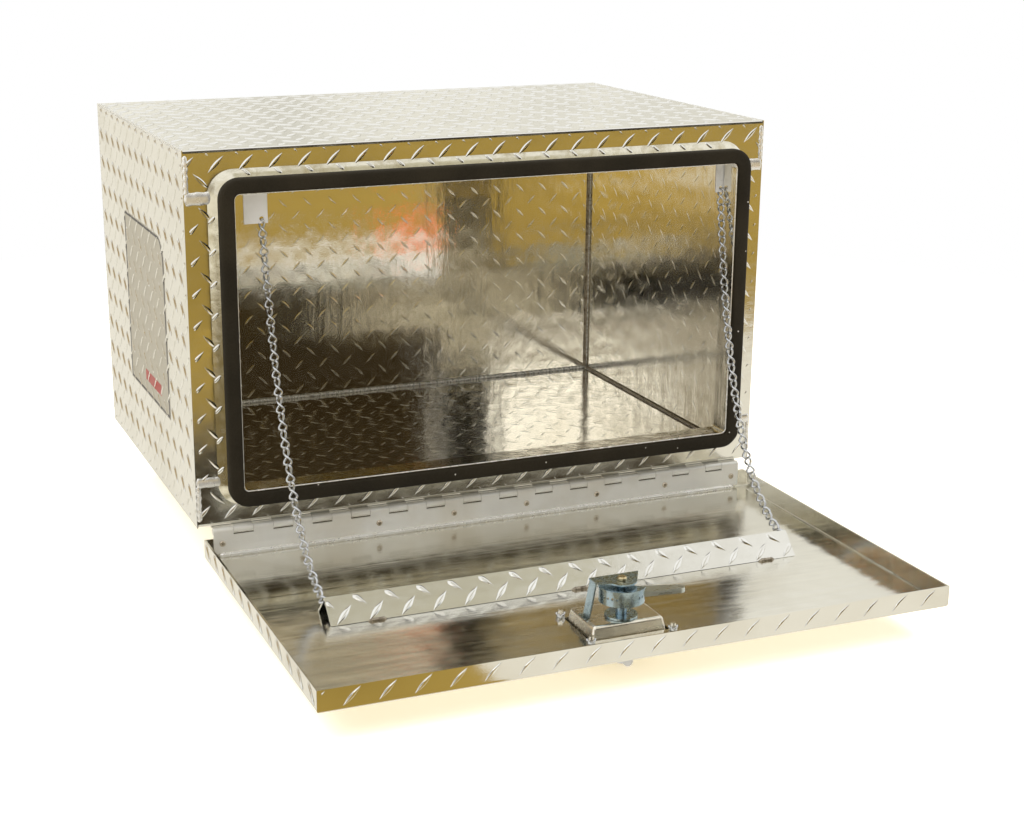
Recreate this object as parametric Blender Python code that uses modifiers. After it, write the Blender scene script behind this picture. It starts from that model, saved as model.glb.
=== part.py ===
"""Underbody truck tool box, modelled with its door open as it hangs from its chains.

Lengths are in metres and +Z is up. The sizes below are written in the box's own frame: X runs
across the box from its centre, Y runs back from the face of the front flange, and Z runs up from
the underside of the box. The whole box hangs from an empty, which puts the world's origin at the
middle of the top face, where the box is bolted under a truck bed.
"""

import math

import bmesh
import bpy
from mathutils import Matrix, Vector

# Body of the box
WIDTH = 0.6150
HEIGHT = 0.3680
DEPTH = 0.4064
SHEET = 0.0020
FIT = 0.0003
OVERRUN = 0.0050
BEND = 0.0040

# Front flange and the lip that is turned forward round the doorway
FLANGE = 0.0360
SIDE_FLANGE = 0.0387
LIP_REACH = 0.0190
LIP_CORNER = 0.0070
SEAM_DROP = 0.0460

# Rubber seal that is pushed over the lip
SEAL_WIDTH = 0.0160
SEAL_WALL = 0.0012
SEAL_GRIP = 0.0040
SEAL_INNER_CORNER = 0.0035
SEAL_ROUNDING = 0.0016

# Piano hinge under the front edge
HINGE_INSET = 0.0155
HINGE_Y = -0.0020
BARREL_RADIUS = 0.0037
PIN_RADIUS = 0.0016
LEAF = 0.0015
BOX_LEAF_REACH = 0.0240
BARREL_RELIEF = 0.0006
KNUCKLE_GAP = 0.0004
KNUCKLES = 29
HINGE_Z = -(BARREL_RADIUS + FIT)

# Rivets of both hinge leaves
RIVETS = 8
RIVET_END_INSET = 0.0085
RIVET_RADIUS = 0.0016
RIVET_HEAD_RADIUS = 0.0032
RIVET_HEAD_RISE = 0.0013
RIVET_TAIL_RISE = 0.0010
RIVET_DROP = 0.0122
RIVET_BACKSET = 0.0130

# Door, a shallow tray that lies open with its inside up
DOOR_SIDE_INSET = 0.0065
DOOR_TOP_INSET = 0.0014
DOOR_FLANGE = 0.0205
DOOR_EDGE_DROP = 0.0072
DOOR_BEND = 0.0030

# Stiffener, a folded angle welded across the inside of the door
STIFFENER_INSET = 0.0630
STIFFENER_RISE = 0.0200
STIFFENER_DOWN_SHARE = 0.5117

# Chain brackets, plates behind the top of the front flange
BRACKET_WIDTH = 0.0230
BRACKET_INSET = {"left": 0.0313, "right": 0.0028}
BRACKET_SHEET = 0.0016
BRACKET_DROP = 0.0732
BRACKET_BEND_RISE = 0.0115
BRACKET_LEAN = 0.0006
BRACKET_HOLE_RADIUS = 0.0022
BRACKET_HOLE_INSET = 0.0060
BRACKET_HOLE_RISE = 0.0044

# Chains of figure-eight wire links
CHAIN_PITCH = 0.01665
CHAIN_SLACK_SHARE = 0.047
LINK_WIRE_RADIUS = 0.0009
LINK_HALF_WIDTH = 0.0026
LINK_OVERLAP = 0.0010
LINK_PLAY = 0.0006
LOWER_DRIFT = 0.0005
RUN_SIDESTEP = {"left": -0.0079, "right": 0.0079}
HOOK_SLOT_RADIUS = 0.0022
HOOK_SLOT_REACH = 0.0028
HOOK_ALONG = 0.0080
HOOK_SINK = 0.0056

# Latch dish with its face plate, studs, nuts and gasket
LATCH_BACKSET = 0.0740
PLATE_WIDTH = 0.0940
PLATE_LENGTH = 0.0780
PLATE_CORNER = 0.0080
PLATE_SHEET = 0.0015
GASKET = 0.0010
DISH_SIDE_MARGIN = 0.0100
DISH_END_MARGIN = 0.0120
DISH_RISE = 0.0110
DISH_SHEET = 0.0012
DISH_DRAFT = 0.0030
DISH_ROUNDING = 0.0025
DISH_CLEARANCE = 0.0015
STUD_SIDE_INSET = 0.0070
STUD_END_INSET = 0.0075
STUD_RADIUS = 0.0024
STUD_RISE = 0.0070
NUT_RADIUS = 0.0046
NUT_HEIGHT = 0.0040

# Latch works, which turn about an upright shaft
SHAFT_INSET = 0.0185
SHAFT_RADIUS = 0.0050
SHAFT_TOP = 0.0431
DISC_RADIUS = 0.0148
DISC_THICKNESS = 0.0020
HUB_RADIUS = 0.0125
HUB_THICKNESS = 0.0016
ARM_REACH = 0.0580
ARM_RISE = 0.0300
ARM_THICKNESS = 0.0045
ARM_TURN_DEGREES = -11.0
ARM_ROOT_WIDTH = 0.0170
ARM_TIP_WIDTH = 0.0090
ARM_EYE_RADIUS = 0.0110
CAM_RADIUS = 0.0214
CAM_SHEET = 0.0014
CAM_FOOT_RISE = 0.0262
CAM_HEIGHT = 0.0145
CAM_START_DEGREES = 165.0
CAM_END_DEGREES = 320.0
CAM_SETBACK_DEGREES = 2.0
CAM_HOLE_RADIUS = 0.0013
CAM_HOLE_DEGREES = (196.0, 208.0, 220.0, 232.0, 292.0, 304.0, 316.0)
BRIDGE_BACK = 0.0130
BRIDGE_WALL_SETBACK = 0.0015
BRIDGE_SHEET = 0.0015
BRIDGE_FOOT = 0.0050
BRIDGE_WALL_INSET = 0.0070
BRIDGE_LEAN = 0.0060
BRIDGE_BACK_TIP_X = 0.0230
BRIDGE_ROUND = 0.0135
BRIDGE_ROUND_START_DEGREES = 205.0
BRIDGE_ROUND_END_DEGREES = 325.0
SCREW_HEAD_RADIUS = 0.0045
SCREW_HEAD_HEIGHT = 0.0028
SCREW_RADIUS = 0.0025
SCREW_DEPTH = 0.0080

# Folding tee handle and its lock plug
HANDLE_OFFSET = 0.0020
HANDLE_PIVOT_DEPTH = 0.0111
EYE_RADIUS = 0.0040
EYE_HALF_WIDTH = 0.0035
EAR_THICKNESS = 0.0040
EAR_HALF_LENGTH = 0.0045
EAR_DROP = 0.0128
HANDLE_PIN_RADIUS = 0.0018
STEM_RADIUS = 0.0034
STEM_LENGTH = 0.0270
TEE_RADIUS = 0.0047
TEE_LENGTH = 0.0280
BOSS_RADIUS = 0.0056
BOSS_HEIGHT = 0.0104
PLUG_RADIUS = 0.0038
PLUG_DEPTH = 0.0070
PLUG_PROUD = 0.0006
KEY_SLOT_WIDTH = 0.0008
KEY_SLOT_LENGTH = 0.0046

# How finely round shapes are divided
ROUND_SEGMENTS = 16
SMALL_SEGMENTS = 10
CORNER_STEPS = 6
LINK_SEGMENTS = 8
WIRE_SEGMENTS = 5

# Places worked out from the sizes
LIP_EDGE_Y = -LIP_REACH
DOORWAY_WIDTH = WIDTH - 2 * SIDE_FLANGE
STRIP_REACH = DOORWAY_WIDTH / 2 - LIP_CORNER - SHEET
HINGE_LENGTH = WIDTH - 2 * HINGE_INSET
RIVET_SPACING = (HINGE_LENGTH - 2 * RIVET_END_INSET) / (RIVETS - 1)
DOOR_WIDTH = WIDTH - 2 * DOOR_SIDE_INSET
DOOR_REACH = HEIGHT - DOOR_TOP_INSET
STIFFENER_LENGTH = DOOR_WIDTH - 2 * STIFFENER_INSET
DOOR_BACK_Y = HINGE_Y - BARREL_RADIUS + LEAF + FIT + SHEET
DOOR_FRONT_Y = DOOR_BACK_Y - DOOR_REACH
STIFFENER_Y = DOOR_BACK_Y - DOOR_REACH * STIFFENER_DOWN_SHARE
LATCH_Y = DOOR_FRONT_Y + LATCH_BACKSET
DISH_WIDTH = PLATE_WIDTH - 2 * DISH_SIDE_MARGIN
DISH_LENGTH = PLATE_LENGTH - 2 * DISH_END_MARGIN
STUD_X = PLATE_WIDTH / 2 - STUD_SIDE_INSET
STUD_Y = PLATE_LENGTH / 2 - STUD_END_INSET
SHAFT_Y = LATCH_Y - DISH_LENGTH / 2 + SHAFT_INSET
BRIDGE_WALL_X = BRIDGE_WALL_INSET - DISH_WIDTH / 2
DOOR_EDGE_Z = HINGE_Z - DOOR_EDGE_DROP
DOOR_OUTER_Z = DOOR_EDGE_Z - DOOR_FLANGE
DOOR_INNER_Z = DOOR_OUTER_Z + SHEET
CLOSED_INNER_Y = HINGE_Y + DOOR_INNER_Z - HINGE_Z
SEAL_FRONT_Y = CLOSED_INNER_Y + FIT
APEX_Z = DOOR_INNER_Z + FIT + STIFFENER_RISE
PLATE_TOP_Z = DOOR_OUTER_Z - GASKET - FIT - FIT
PLATE_LOW_Z = PLATE_TOP_Z - PLATE_SHEET
DISH_TOP_Z = DOOR_INNER_Z + DISH_RISE
DISH_UNDER_Z = DISH_TOP_Z - DISH_SHEET
HUB_TOP_Z = DISH_UNDER_Z - FIT
HUB_LOW_Z = HUB_TOP_Z - HUB_THICKNESS
ARM_LOW_Z = DOOR_INNER_Z + ARM_RISE
CAM_LOW_Z = DOOR_INNER_Z + CAM_FOOT_RISE
CAM_TOP_Z = CAM_LOW_Z + CAM_HEIGHT
SHAFT_TOP_Z = DOOR_INNER_Z + SHAFT_TOP
BRIDGE_TOP_Z = SHAFT_TOP_Z + FIT + BRIDGE_SHEET
PIVOT_Z = DISH_UNDER_Z - HANDLE_PIVOT_DEPTH
PIVOT_X = HANDLE_OFFSET
TEE_Z = PIVOT_Z - STEM_LENGTH
BOSS_LOW_Z = TEE_Z - BOSS_HEIGHT / 2
BRACKET_X = {name: DOORWAY_WIDTH / 2 - inset for name, inset in BRACKET_INSET.items()}
BRACKET_Y = SHEET + FIT + BRACKET_LEAN + BRACKET_SHEET / 2
BRACKET_LOW_Z = HEIGHT - BRACKET_DROP
BRACKET_HOLE_Y = BRACKET_Y - BRACKET_LEAN * (1 - BRACKET_HOLE_RISE / BRACKET_BEND_RISE)
HOOK_X = STIFFENER_LENGTH / 2 + FIT + LINK_WIRE_RADIUS - LINK_HALF_WIDTH
BRACKET_HOLE_SETBACK = BRACKET_WIDTH / 2 - BRACKET_HOLE_INSET
BRACKET_HOLE_Z = BRACKET_LOW_Z + BRACKET_HOLE_RISE
SIDES = {"left": -1, "right": 1}


# Scene, carriers and materials

def clear_scene():
    """Remove whatever the scene holds."""
    for item in list(bpy.data.objects):
        bpy.data.objects.remove(item, do_unlink=True)


clear_scene()
PARTS = bpy.data.collections.new("underbody_tool_box")
GUIDES = bpy.data.collections.new("cutters_and_guides")
bpy.context.scene.collection.children.link(PARTS)
bpy.context.scene.collection.children.link(GUIDES)


def carrier(name, place, below=None):
    """Make an empty at a place of the box's frame, carried by another empty."""
    empty = bpy.data.objects.new(name, None)
    empty.empty_display_size = FLANGE
    empty["place"] = place
    PARTS.objects.link(empty)
    if below is None:
        empty.location = place
    else:
        empty.parent = below
        start = Vector(below["place"]) if below.parent else Vector()
        empty.location = Vector(place) - start
    return empty


def ride(item, below):
    """Hang an object that is placed in the box's frame from a carrier."""
    item.parent = below
    if below.parent:
        item.location = item.location - Vector(below["place"])
    return item


def material(name, colour, metallic, roughness):
    """Make a plain Principled material."""
    made = bpy.data.materials.new(name)
    made.use_nodes = True
    shader = made.node_tree.nodes["Principled BSDF"]
    shader.inputs["Base Color"].default_value = (*colour, 1.0)
    shader.inputs["Metallic"].default_value = metallic
    shader.inputs["Roughness"].default_value = roughness
    made.diffuse_color = (*colour, 1.0)
    return made


def finish_part(item, below, colour):
    """Put a finished piece among the parts, with a material of its own."""
    own = colour.copy()
    own.name = item.name
    item.data.materials.clear()
    item.data.materials.append(own)
    GUIDES.objects.unlink(item)
    PARTS.objects.link(item)
    item.hide_render = False
    item.display_type = "TEXTURED"
    ride(item, below)
    return item


# Shapes

def guide_from_mesh(name, mesh):
    """Wrap a mesh in an object that starts as a hidden guide."""
    item = bpy.data.objects.new(name, mesh)
    item.hide_render = True
    item.display_type = "WIRE"
    GUIDES.objects.link(item)
    item.parent = BOX
    return item


def guide_from_bmesh(name, cage):
    """Turn a bmesh into a hidden guide object."""
    mesh = bpy.data.meshes.new(name)
    cage.to_mesh(mesh)
    cage.free()
    return guide_from_mesh(name, mesh)


def block(name, low, high):
    """Make a box between two corners."""
    low, high = Vector(low), Vector(high)
    cage = bmesh.new()
    bmesh.ops.create_cube(cage, size=1.0)
    bmesh.ops.scale(cage, vec=high - low, verts=cage.verts)
    bmesh.ops.translate(cage, vec=(low + high) / 2, verts=cage.verts)
    return guide_from_bmesh(name, cage)


def add_rod(cage, start, end, radius, segments):
    """Add a closed cylinder between two points to a bmesh."""
    start, end = Vector(start), Vector(end)
    turn = (end - start).to_track_quat("Z", "Y").to_matrix().to_4x4()
    place = Matrix.Translation((start + end) / 2) @ turn
    bmesh.ops.create_cone(cage, cap_ends=True, segments=segments, radius1=radius,
                          radius2=radius, depth=(end - start).length, matrix=place)


def rod(name, start, end, radius, segments=ROUND_SEGMENTS):
    """Make a closed cylinder between two points."""
    cage = bmesh.new()
    add_rod(cage, start, end, radius, segments)
    return guide_from_bmesh(name, cage)


def rods(name, ends, radius, segments=SMALL_SEGMENTS):
    """Make several closed cylinders as one guide."""
    cage = bmesh.new()
    for start, end in ends:
        add_rod(cage, start, end, radius, segments)
    return guide_from_bmesh(name, cage)


AXES = {
    "X": Matrix(((0, 0, 1, 0), (1, 0, 0, 0), (0, 1, 0, 0), (0, 0, 0, 1))),
    "Y": Matrix(((1, 0, 0, 0), (0, 0, -1, 0), (0, 1, 0, 0), (0, 0, 0, 1))),
    "Z": Matrix.Identity(4),
}


def extrusion(name, loops, axis, low, high):
    """Extrude flat outlines along an axis, with the outlines after the first as holes.

    An outline across X is given in Y and Z, across Y in X and Z, and across Z in X and Y.
    """
    curve = bpy.data.curves.new(name, "CURVE")
    curve.dimensions = "2D"
    curve.fill_mode = "BOTH"
    curve.extrude = (high - low) / 2
    for loop in loops:
        spline = curve.splines.new("POLY")
        spline.points.add(len(loop) - 1)
        for point, (across, up) in zip(spline.points, loop):
            point.co = (across, up, 0.0, 1.0)
        spline.use_cyclic_u = True
    holder = bpy.data.objects.new(name, curve)
    bpy.context.scene.collection.objects.link(holder)
    bpy.context.view_layer.update()
    graph = bpy.context.evaluated_depsgraph_get()
    mesh = bpy.data.meshes.new_from_object(holder.evaluated_get(graph))
    bpy.data.objects.remove(holder, do_unlink=True)
    bpy.data.curves.remove(curve)
    cage = bmesh.new()
    cage.from_mesh(mesh)
    bpy.data.meshes.remove(mesh)
    bmesh.ops.remove_doubles(cage, verts=cage.verts, dist=FIT / 10)
    return guide_along(name, cage, axis, (low + high) / 2)


def ring(name, outer, inner, axis, low, high):
    """Extrude the strip between two outlines that have the same number of points."""
    cage = bmesh.new()
    edges = []
    for loop in (outer, inner):
        corners = [cage.verts.new((*point, (low - high) / 2)) for point in loop]
        edges += [cage.edges.new(pair) for pair in zip(corners, corners[1:] + corners[:1])]
    bmesh.ops.bridge_loops(cage, edges=edges)
    lifted = bmesh.ops.extrude_face_region(cage, geom=cage.faces[:])["geom"]
    moved = [item for item in lifted if isinstance(item, bmesh.types.BMVert)]
    bmesh.ops.translate(cage, vec=(0.0, 0.0, high - low), verts=moved)
    return guide_along(name, cage, axis, (low + high) / 2)


def guide_along(name, cage, axis, centre):
    """Turn a cage that was built along Z to an axis and move its middle along it."""
    bmesh.ops.transform(cage, matrix=AXES[axis], verts=cage.verts)
    shift = Vector([centre if letter == axis else 0.0 for letter in "XYZ"])
    bmesh.ops.translate(cage, vec=shift, verts=cage.verts)
    bmesh.ops.recalc_face_normals(cage, faces=cage.faces)
    return guide_from_bmesh(name, cage)


def arc(centre, radius, start_degrees, end_degrees, steps):
    """Return points along an arc, both ends included."""
    points = []
    for step in range(steps + 1):
        angle = math.radians(start_degrees + (end_degrees - start_degrees) * step / steps)
        points.append((centre[0] + radius * math.cos(angle),
                       centre[1] + radius * math.sin(angle)))
    return points


def circle(centre, radius, segments=ROUND_SEGMENTS):
    """Return the points of a whole circle."""
    return arc(centre, radius, 0, 360, segments)[:-1]


def rounded_rectangle(half_width, low, high, radius, steps=CORNER_STEPS):
    """Return a rectangle about X zero with round corners."""
    side = half_width - radius
    points = arc((side, high - radius), radius, 90, 0, steps)
    points += arc((side, low + radius), radius, 0, -90, steps)
    points += arc((-side, low + radius), radius, -90, -180, steps)
    points += arc((-side, high - radius), radius, 180, 90, steps)
    return points


def filleted(path, radius, steps=3):
    """Round the inner corners of an open path."""
    rounded = [Vector(path[0])]
    for before, corner, after in zip(path, path[1:], path[2:]):
        before, corner, after = Vector(before), Vector(corner), Vector(after)
        inward = (before - corner).normalized()
        onward = (after - corner).normalized()
        half = inward.angle(onward) / 2
        reach = radius / math.tan(half)
        centre = corner + (inward + onward).normalized() * radius / math.sin(half)
        start = corner + inward * reach - centre
        end = corner + onward * reach - centre
        for step in range(steps + 1):
            rounded.append(centre + start.slerp(end, step / steps).normalized() * radius)
    rounded.append(Vector(path[-1]))
    return rounded


def bent_strip(path, thickness):
    """Return the outline of a strip of even thickness along a path."""
    path = [Vector(point) for point in path]
    offsets = []
    for index, point in enumerate(path):
        sides = []
        if index > 0:
            sides.append((point - path[index - 1]).normalized())
        if index < len(path) - 1:
            sides.append((path[index + 1] - point).normalized())
        normals = [Vector((-side.y, side.x)) for side in sides]
        mean = sum(normals, Vector((0, 0))).normalized()
        offsets.append(mean * (thickness / 2) / mean.dot(normals[0]))
    left = [point + offset for point, offset in zip(path, offsets)]
    right = [point - offset for point, offset in zip(path, offsets)]
    return [tuple(point) for point in left + right[::-1]]


def turned(name, profile, place, axis, segments=ROUND_SEGMENTS):
    """Turn a profile of radius and height, listed from top to bottom, about an axis."""
    mesh = bpy.data.meshes.new(name)
    points = [(radius, 0.0, height) for radius, height in profile]
    edges = [(index, index + 1) for index in range(len(points) - 1)]
    mesh.from_pydata(points, edges, [])
    item = guide_from_mesh(name, mesh)
    screw = item.modifiers.new("turn", "SCREW")
    screw.steps = segments
    screw.render_steps = segments
    screw.use_merge_vertices = True
    screw.merge_threshold = FIT / 10
    screw.use_smooth_shade = True
    item.location = place
    item.rotation_euler = Vector(axis).to_track_quat("Z", "Y").to_euler()
    return item


# Ways of changing a shape

def combine(item, other, operation):
    """Add an exact Boolean with a hidden guide."""
    step = item.modifiers.new(operation.lower() + "_" + other.name, "BOOLEAN")
    step.operation = operation
    step.solver = "EXACT"
    step.object = other
    return item


def cut(item, *cutters):
    """Cut guides out of an object."""
    for cutter in cutters:
        combine(item, cutter, "DIFFERENCE")
    return item


def fuse(item, *others):
    """Weld guides onto an object as one body."""
    for other in others:
        combine(item, other, "UNION")
    return item


def soften(item, width, segments=2, angle=50.0):
    """Round the edges of an object that turn by more than an angle."""
    step = item.modifiers.new("rounded_edges", "BEVEL")
    step.width = width
    step.segments = segments
    step.limit_method = "ANGLE"
    step.angle_limit = math.radians(angle)
    return item


def smooth(item, angle=35.0):
    """Shade an object smooth except across sharp edges."""
    item.data.shade_smooth()
    item.data.set_sharp_from_angle(angle=math.radians(angle))
    return item


# Carriers, which stand on the joint axes

def closed_place(place):
    """Return where a point of the open door lies once the door is shut."""
    across, back, up = place
    return (across, HINGE_Y + up - HINGE_Z, HINGE_Z - (back - HINGE_Y))


def slope_point(distance):
    """Return Y and Z in the stiffener's rear leg, a distance down from its ridge."""
    step = distance / math.sqrt(2)
    half_sheet = SHEET / 2 / math.sqrt(2)
    return STIFFENER_Y + step - half_sheet, APEX_Z - step - half_sheet


CHAIN_TOP = (BRACKET_HOLE_Y,
             BRACKET_HOLE_Z - BRACKET_HOLE_RADIUS + LINK_WIRE_RADIUS + LINK_PLAY)
CHAIN_FOOT = slope_point(HOOK_ALONG)

BOX = carrier("box_frame", (0.0, -DEPTH / 2, -HEIGHT))
DOOR_AXIS = carrier("door_hinge_axis", (0.0, HINGE_Y, HINGE_Z), BOX)
LATCH_AXIS = carrier("latch_turn_axis", (0.0, SHAFT_Y, DISH_TOP_Z), DOOR_AXIS)
HANDLE_AXIS = carrier("handle_fold_axis", (PIVOT_X, SHAFT_Y, PIVOT_Z), LATCH_AXIS)
KEY_AXIS = carrier("key_turn_axis", (PIVOT_X, SHAFT_Y, BOSS_LOW_Z), HANDLE_AXIS)

ALUMINIUM = material("aluminium", (0.80, 0.79, 0.76), 1.0, 0.28)
RUBBER = material("rubber", (0.025, 0.023, 0.021), 0.0, 0.65)
ZINC = material("zinc", (0.62, 0.66, 0.70), 1.0, 0.30)
STAINLESS = material("stainless", (0.60, 0.56, 0.50), 1.0, 0.30)


# Body of the box

def doorway_outline(inset, corner=None):
    """Return the outline of the lip's outer side, drawn in by a distance."""
    if corner is None:
        corner = LIP_CORNER - inset
    edge = FLANGE + inset
    return rounded_rectangle(DOORWAY_WIDTH / 2 - inset, edge, HEIGHT - edge, corner)


def lip_ring(name, grow, y_low, y_high):
    """Make the rounded ring of the lip, thickened all over by a clearance."""
    return ring(name, doorway_outline(-grow), doorway_outline(SHEET + grow), "Y", y_low, y_high)


def front_frame(name, low, high):
    """Make the stretch of front flange and lip that lies inside a box."""
    half = WIDTH / 2 + OVERRUN
    foot, head = -OVERRUN, HEIGHT + OVERRUN
    sheet = [(-half, foot), (half, foot), (half, head), (-half, head)]
    frame = extrusion(name, [sheet, doorway_outline(SHEET / 2)], "Y", 0.0, SHEET)
    fuse(frame, lip_ring(name + "_lip", 0.0, LIP_EDGE_Y, SHEET / 2))
    region = block(name + "_region", low, high)
    return combine(frame, region, "INTERSECT")


def side_outline(inset, bend):
    """Return the side view of the folded sheet, drawn in by a distance, with its bends."""
    low, high = inset, HEIGHT - inset
    back = DEPTH - inset
    path = [(inset, HEIGHT / 2), (inset, low), (back, low), (back, high), (inset, high),
            (inset, HEIGHT / 2)]
    return [tuple(point) for point in filleted(path, bend)[:-1]]


def build_wrap():
    """Top, back and bottom in one folded sheet, with the strips above and below the doorway."""
    side = WIDTH / 2 - SHEET - FIT
    wrap = ring("body_wrap", side_outline(0.0, BEND), side_outline(SHEET, BEND - SHEET), "X",
                -side, side)
    cut(wrap, extrusion("doorway", [doorway_outline(SHEET / 2)], "Y", -OVERRUN, OVERRUN))
    fuse(wrap, lip_ring("wrap_lip", 0.0, LIP_EDGE_Y, SHEET / 2))
    for side_name, sign in SIDES.items():
        low_x, high_x = sorted((sign * STRIP_REACH, sign * WIDTH))
        cut(wrap, block("side_gap_" + side_name, (low_x, LIP_EDGE_Y - OVERRUN, SEAM_DROP),
                        (high_x, SHEET + FIT, HEIGHT - SEAM_DROP)))
    holes = [((x, RIVET_BACKSET, -OVERRUN), (x, RIVET_BACKSET, OVERRUN)) for x in rivet_places()]
    cut(wrap, rods("wrap_rivet_holes", holes, RIVET_RADIUS + FIT))
    return finish_part(wrap, BOX, ALUMINIUM)


def build_end_panel(side_name, side):
    """One end of the box, folded round to make the side of the front flange."""
    edge = side * WIDTH / 2
    inner = edge - side * SHEET
    low_x, high_x = sorted((edge, inner))
    panel = block("end_panel_" + side_name, (low_x, 0.0, 0.0), (high_x, DEPTH, HEIGHT))
    low_x, high_x = sorted((edge - side * SHEET / 2, side * STRIP_REACH))
    strip = front_frame("side_strip_" + side_name,
                        (low_x, LIP_EDGE_Y - OVERRUN, SEAM_DROP + FIT),
                        (high_x, SHEET + OVERRUN, HEIGHT - SEAM_DROP - FIT))
    fuse(panel, strip)
    return finish_part(panel, BOX, ALUMINIUM)


def build_seal():
    """Rubber seal that grips the lip, lies over the flange and stands out to meet the door."""
    inset = SHEET + FIT + SEAL_WALL
    seal = ring("door_seal", doorway_outline(inset - SEAL_WIDTH),
                doorway_outline(inset, SEAL_INNER_CORNER), "Y", SEAL_FRONT_Y,
                LIP_EDGE_Y + SEAL_GRIP)
    soften(seal, SEAL_ROUNDING, angle=70.0)
    cut(seal, lip_ring("seal_groove", FIT, LIP_EDGE_Y - FIT, OVERRUN))
    return finish_part(smooth(seal), BOX, RUBBER)


def build_chain_bracket(side_name, side):
    """Small cranked plate that a chain hangs from."""
    path = [(BRACKET_Y - BRACKET_LEAN, BRACKET_LOW_Z),
            (BRACKET_Y, BRACKET_LOW_Z + BRACKET_BEND_RISE),
            (BRACKET_Y, HEIGHT - SHEET - BEND)]
    outline = bent_strip(path, BRACKET_SHEET)
    centre = side * BRACKET_X[side_name]
    bracket = extrusion("chain_bracket_" + side_name, [outline], "X",
                        centre - BRACKET_WIDTH / 2, centre + BRACKET_WIDTH / 2)
    hole_x = side * (BRACKET_X[side_name] - BRACKET_HOLE_SETBACK)
    cut(bracket, rod("bracket_hole_" + side_name,
                     (hole_x, BRACKET_Y - OVERRUN, BRACKET_HOLE_Z),
                     (hole_x, BRACKET_Y + OVERRUN, BRACKET_HOLE_Z), BRACKET_HOLE_RADIUS))
    return finish_part(bracket, BOX, ALUMINIUM)


# Hinge

def rivet_places():
    """Return where the rivets of either leaf stand along X."""
    first = -RIVET_SPACING * (RIVETS - 1) / 2
    return [first + RIVET_SPACING * index for index in range(RIVETS)]


def knuckle_gaps(name, parity, low, high):
    """Make cutters over every second knuckle of the hinge."""
    pitch = HINGE_LENGTH / KNUCKLES
    cage = bmesh.new()
    for index in range(parity, KNUCKLES, 2):
        left = -HINGE_LENGTH / 2 + pitch * index - KNUCKLE_GAP / 2
        right = left + pitch + KNUCKLE_GAP
        if index == 0:
            left -= OVERRUN
        if index == KNUCKLES - 1:
            right += OVERRUN
        centre = Vector(((left + right) / 2, (low[0] + high[0]) / 2, (low[1] + high[1]) / 2))
        size = Vector((right - left, high[0] - low[0], high[1] - low[1]))
        place = Matrix.Translation(centre) @ Matrix.Diagonal((*size, 1.0))
        bmesh.ops.create_cube(cage, size=1.0, matrix=place)
    return guide_from_bmesh(name, cage)


def hinge_leaf(name, low, high, parity, notch_low, notch_high, rivet_ends):
    """Make one leaf with its knuckles, its notches and its rivet holes."""
    half = HINGE_LENGTH / 2
    leaf = block(name, (-half, *low), (half, *high))
    barrel = rod(name + "_barrel", (-half, HINGE_Y, HINGE_Z), (half, HINGE_Y, HINGE_Z),
                 BARREL_RADIUS)
    fuse(leaf, barrel)
    bore = rod(name + "_bore", (-half - OVERRUN, HINGE_Y, HINGE_Z),
               (half + OVERRUN, HINGE_Y, HINGE_Z), PIN_RADIUS + FIT, SMALL_SEGMENTS)
    notches = knuckle_gaps(name + "_notches", parity, notch_low, notch_high)
    cut(leaf, notches, bore, rods(name + "_rivet_holes", rivet_ends, RIVET_RADIUS + FIT))
    return leaf


def build_hinge():
    """Both leaves of the piano hinge and its long pin."""
    around = BARREL_RADIUS + BARREL_RELIEF
    top = HINGE_Z + BARREL_RADIUS
    ends = [((x, RIVET_BACKSET, top - LEAF - OVERRUN), (x, RIVET_BACKSET, top + OVERRUN))
            for x in rivet_places()]
    box_leaf = hinge_leaf("hinge_leaf_box", (HINGE_Y, top - LEAF), (BOX_LEAF_REACH, top), 0,
                          (HINGE_Y - around, HINGE_Z - around),
                          (HINGE_Y + around, top + OVERRUN), ends)
    finish_part(box_leaf, BOX, STAINLESS)

    face = HINGE_Y - BARREL_RADIUS
    level = HINGE_Z - RIVET_DROP
    ends = [((x, face - OVERRUN, level), (x, face + LEAF + OVERRUN, level))
            for x in rivet_places()]
    door_leaf = hinge_leaf("hinge_leaf_door", (face, DOOR_INNER_Z + DOOR_BEND), (face + LEAF, HINGE_Z),
                           1, (face - OVERRUN, HINGE_Z - around),
                           (HINGE_Y + around, HINGE_Z + around), ends)
    finish_part(door_leaf, DOOR_AXIS, STAINLESS)

    half = HINGE_LENGTH / 2
    pin = rod("hinge_pin", (-half, HINGE_Y, HINGE_Z), (half, HINGE_Y, HINGE_Z), PIN_RADIUS,
              SMALL_SEGMENTS)
    finish_part(smooth(pin), BOX, STAINLESS)


def rivet(name, place, axis, grip):
    """Make a rivet with its head at the top of its axis and its grip below."""
    head = RIVET_HEAD_RISE
    tail = -grip - FIT
    profile = [
        (0.0, FIT + head),
        (RIVET_HEAD_RADIUS * 0.6, FIT + head * 0.8),
        (RIVET_HEAD_RADIUS, FIT),
        (RIVET_RADIUS, FIT),
        (RIVET_RADIUS, tail),
        (RIVET_HEAD_RADIUS * 0.8, tail),
        (RIVET_HEAD_RADIUS * 0.6, tail - RIVET_TAIL_RISE),
        (0.0, tail - RIVET_TAIL_RISE),
    ]
    return turned(name, profile, place, axis, SMALL_SEGMENTS)


def build_rivets():
    """Rivets through each leaf and the sheet that it lies on."""
    grip = LEAF + FIT + SHEET
    for number, x in enumerate(rivet_places(), start=1):
        level = HINGE_Z + BARREL_RADIUS - LEAF
        below = rivet(f"hinge_rivet_box_{number}", (x, RIVET_BACKSET, level), (0, 0, -1), grip)
        finish_part(below, BOX, ZINC)
        face = (x, HINGE_Y - BARREL_RADIUS, HINGE_Z - RIVET_DROP)
        front = rivet(f"hinge_rivet_door_{number}", face, (0, -1, 0), grip)
        finish_part(front, DOOR_AXIS, ZINC)


# Door

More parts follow.
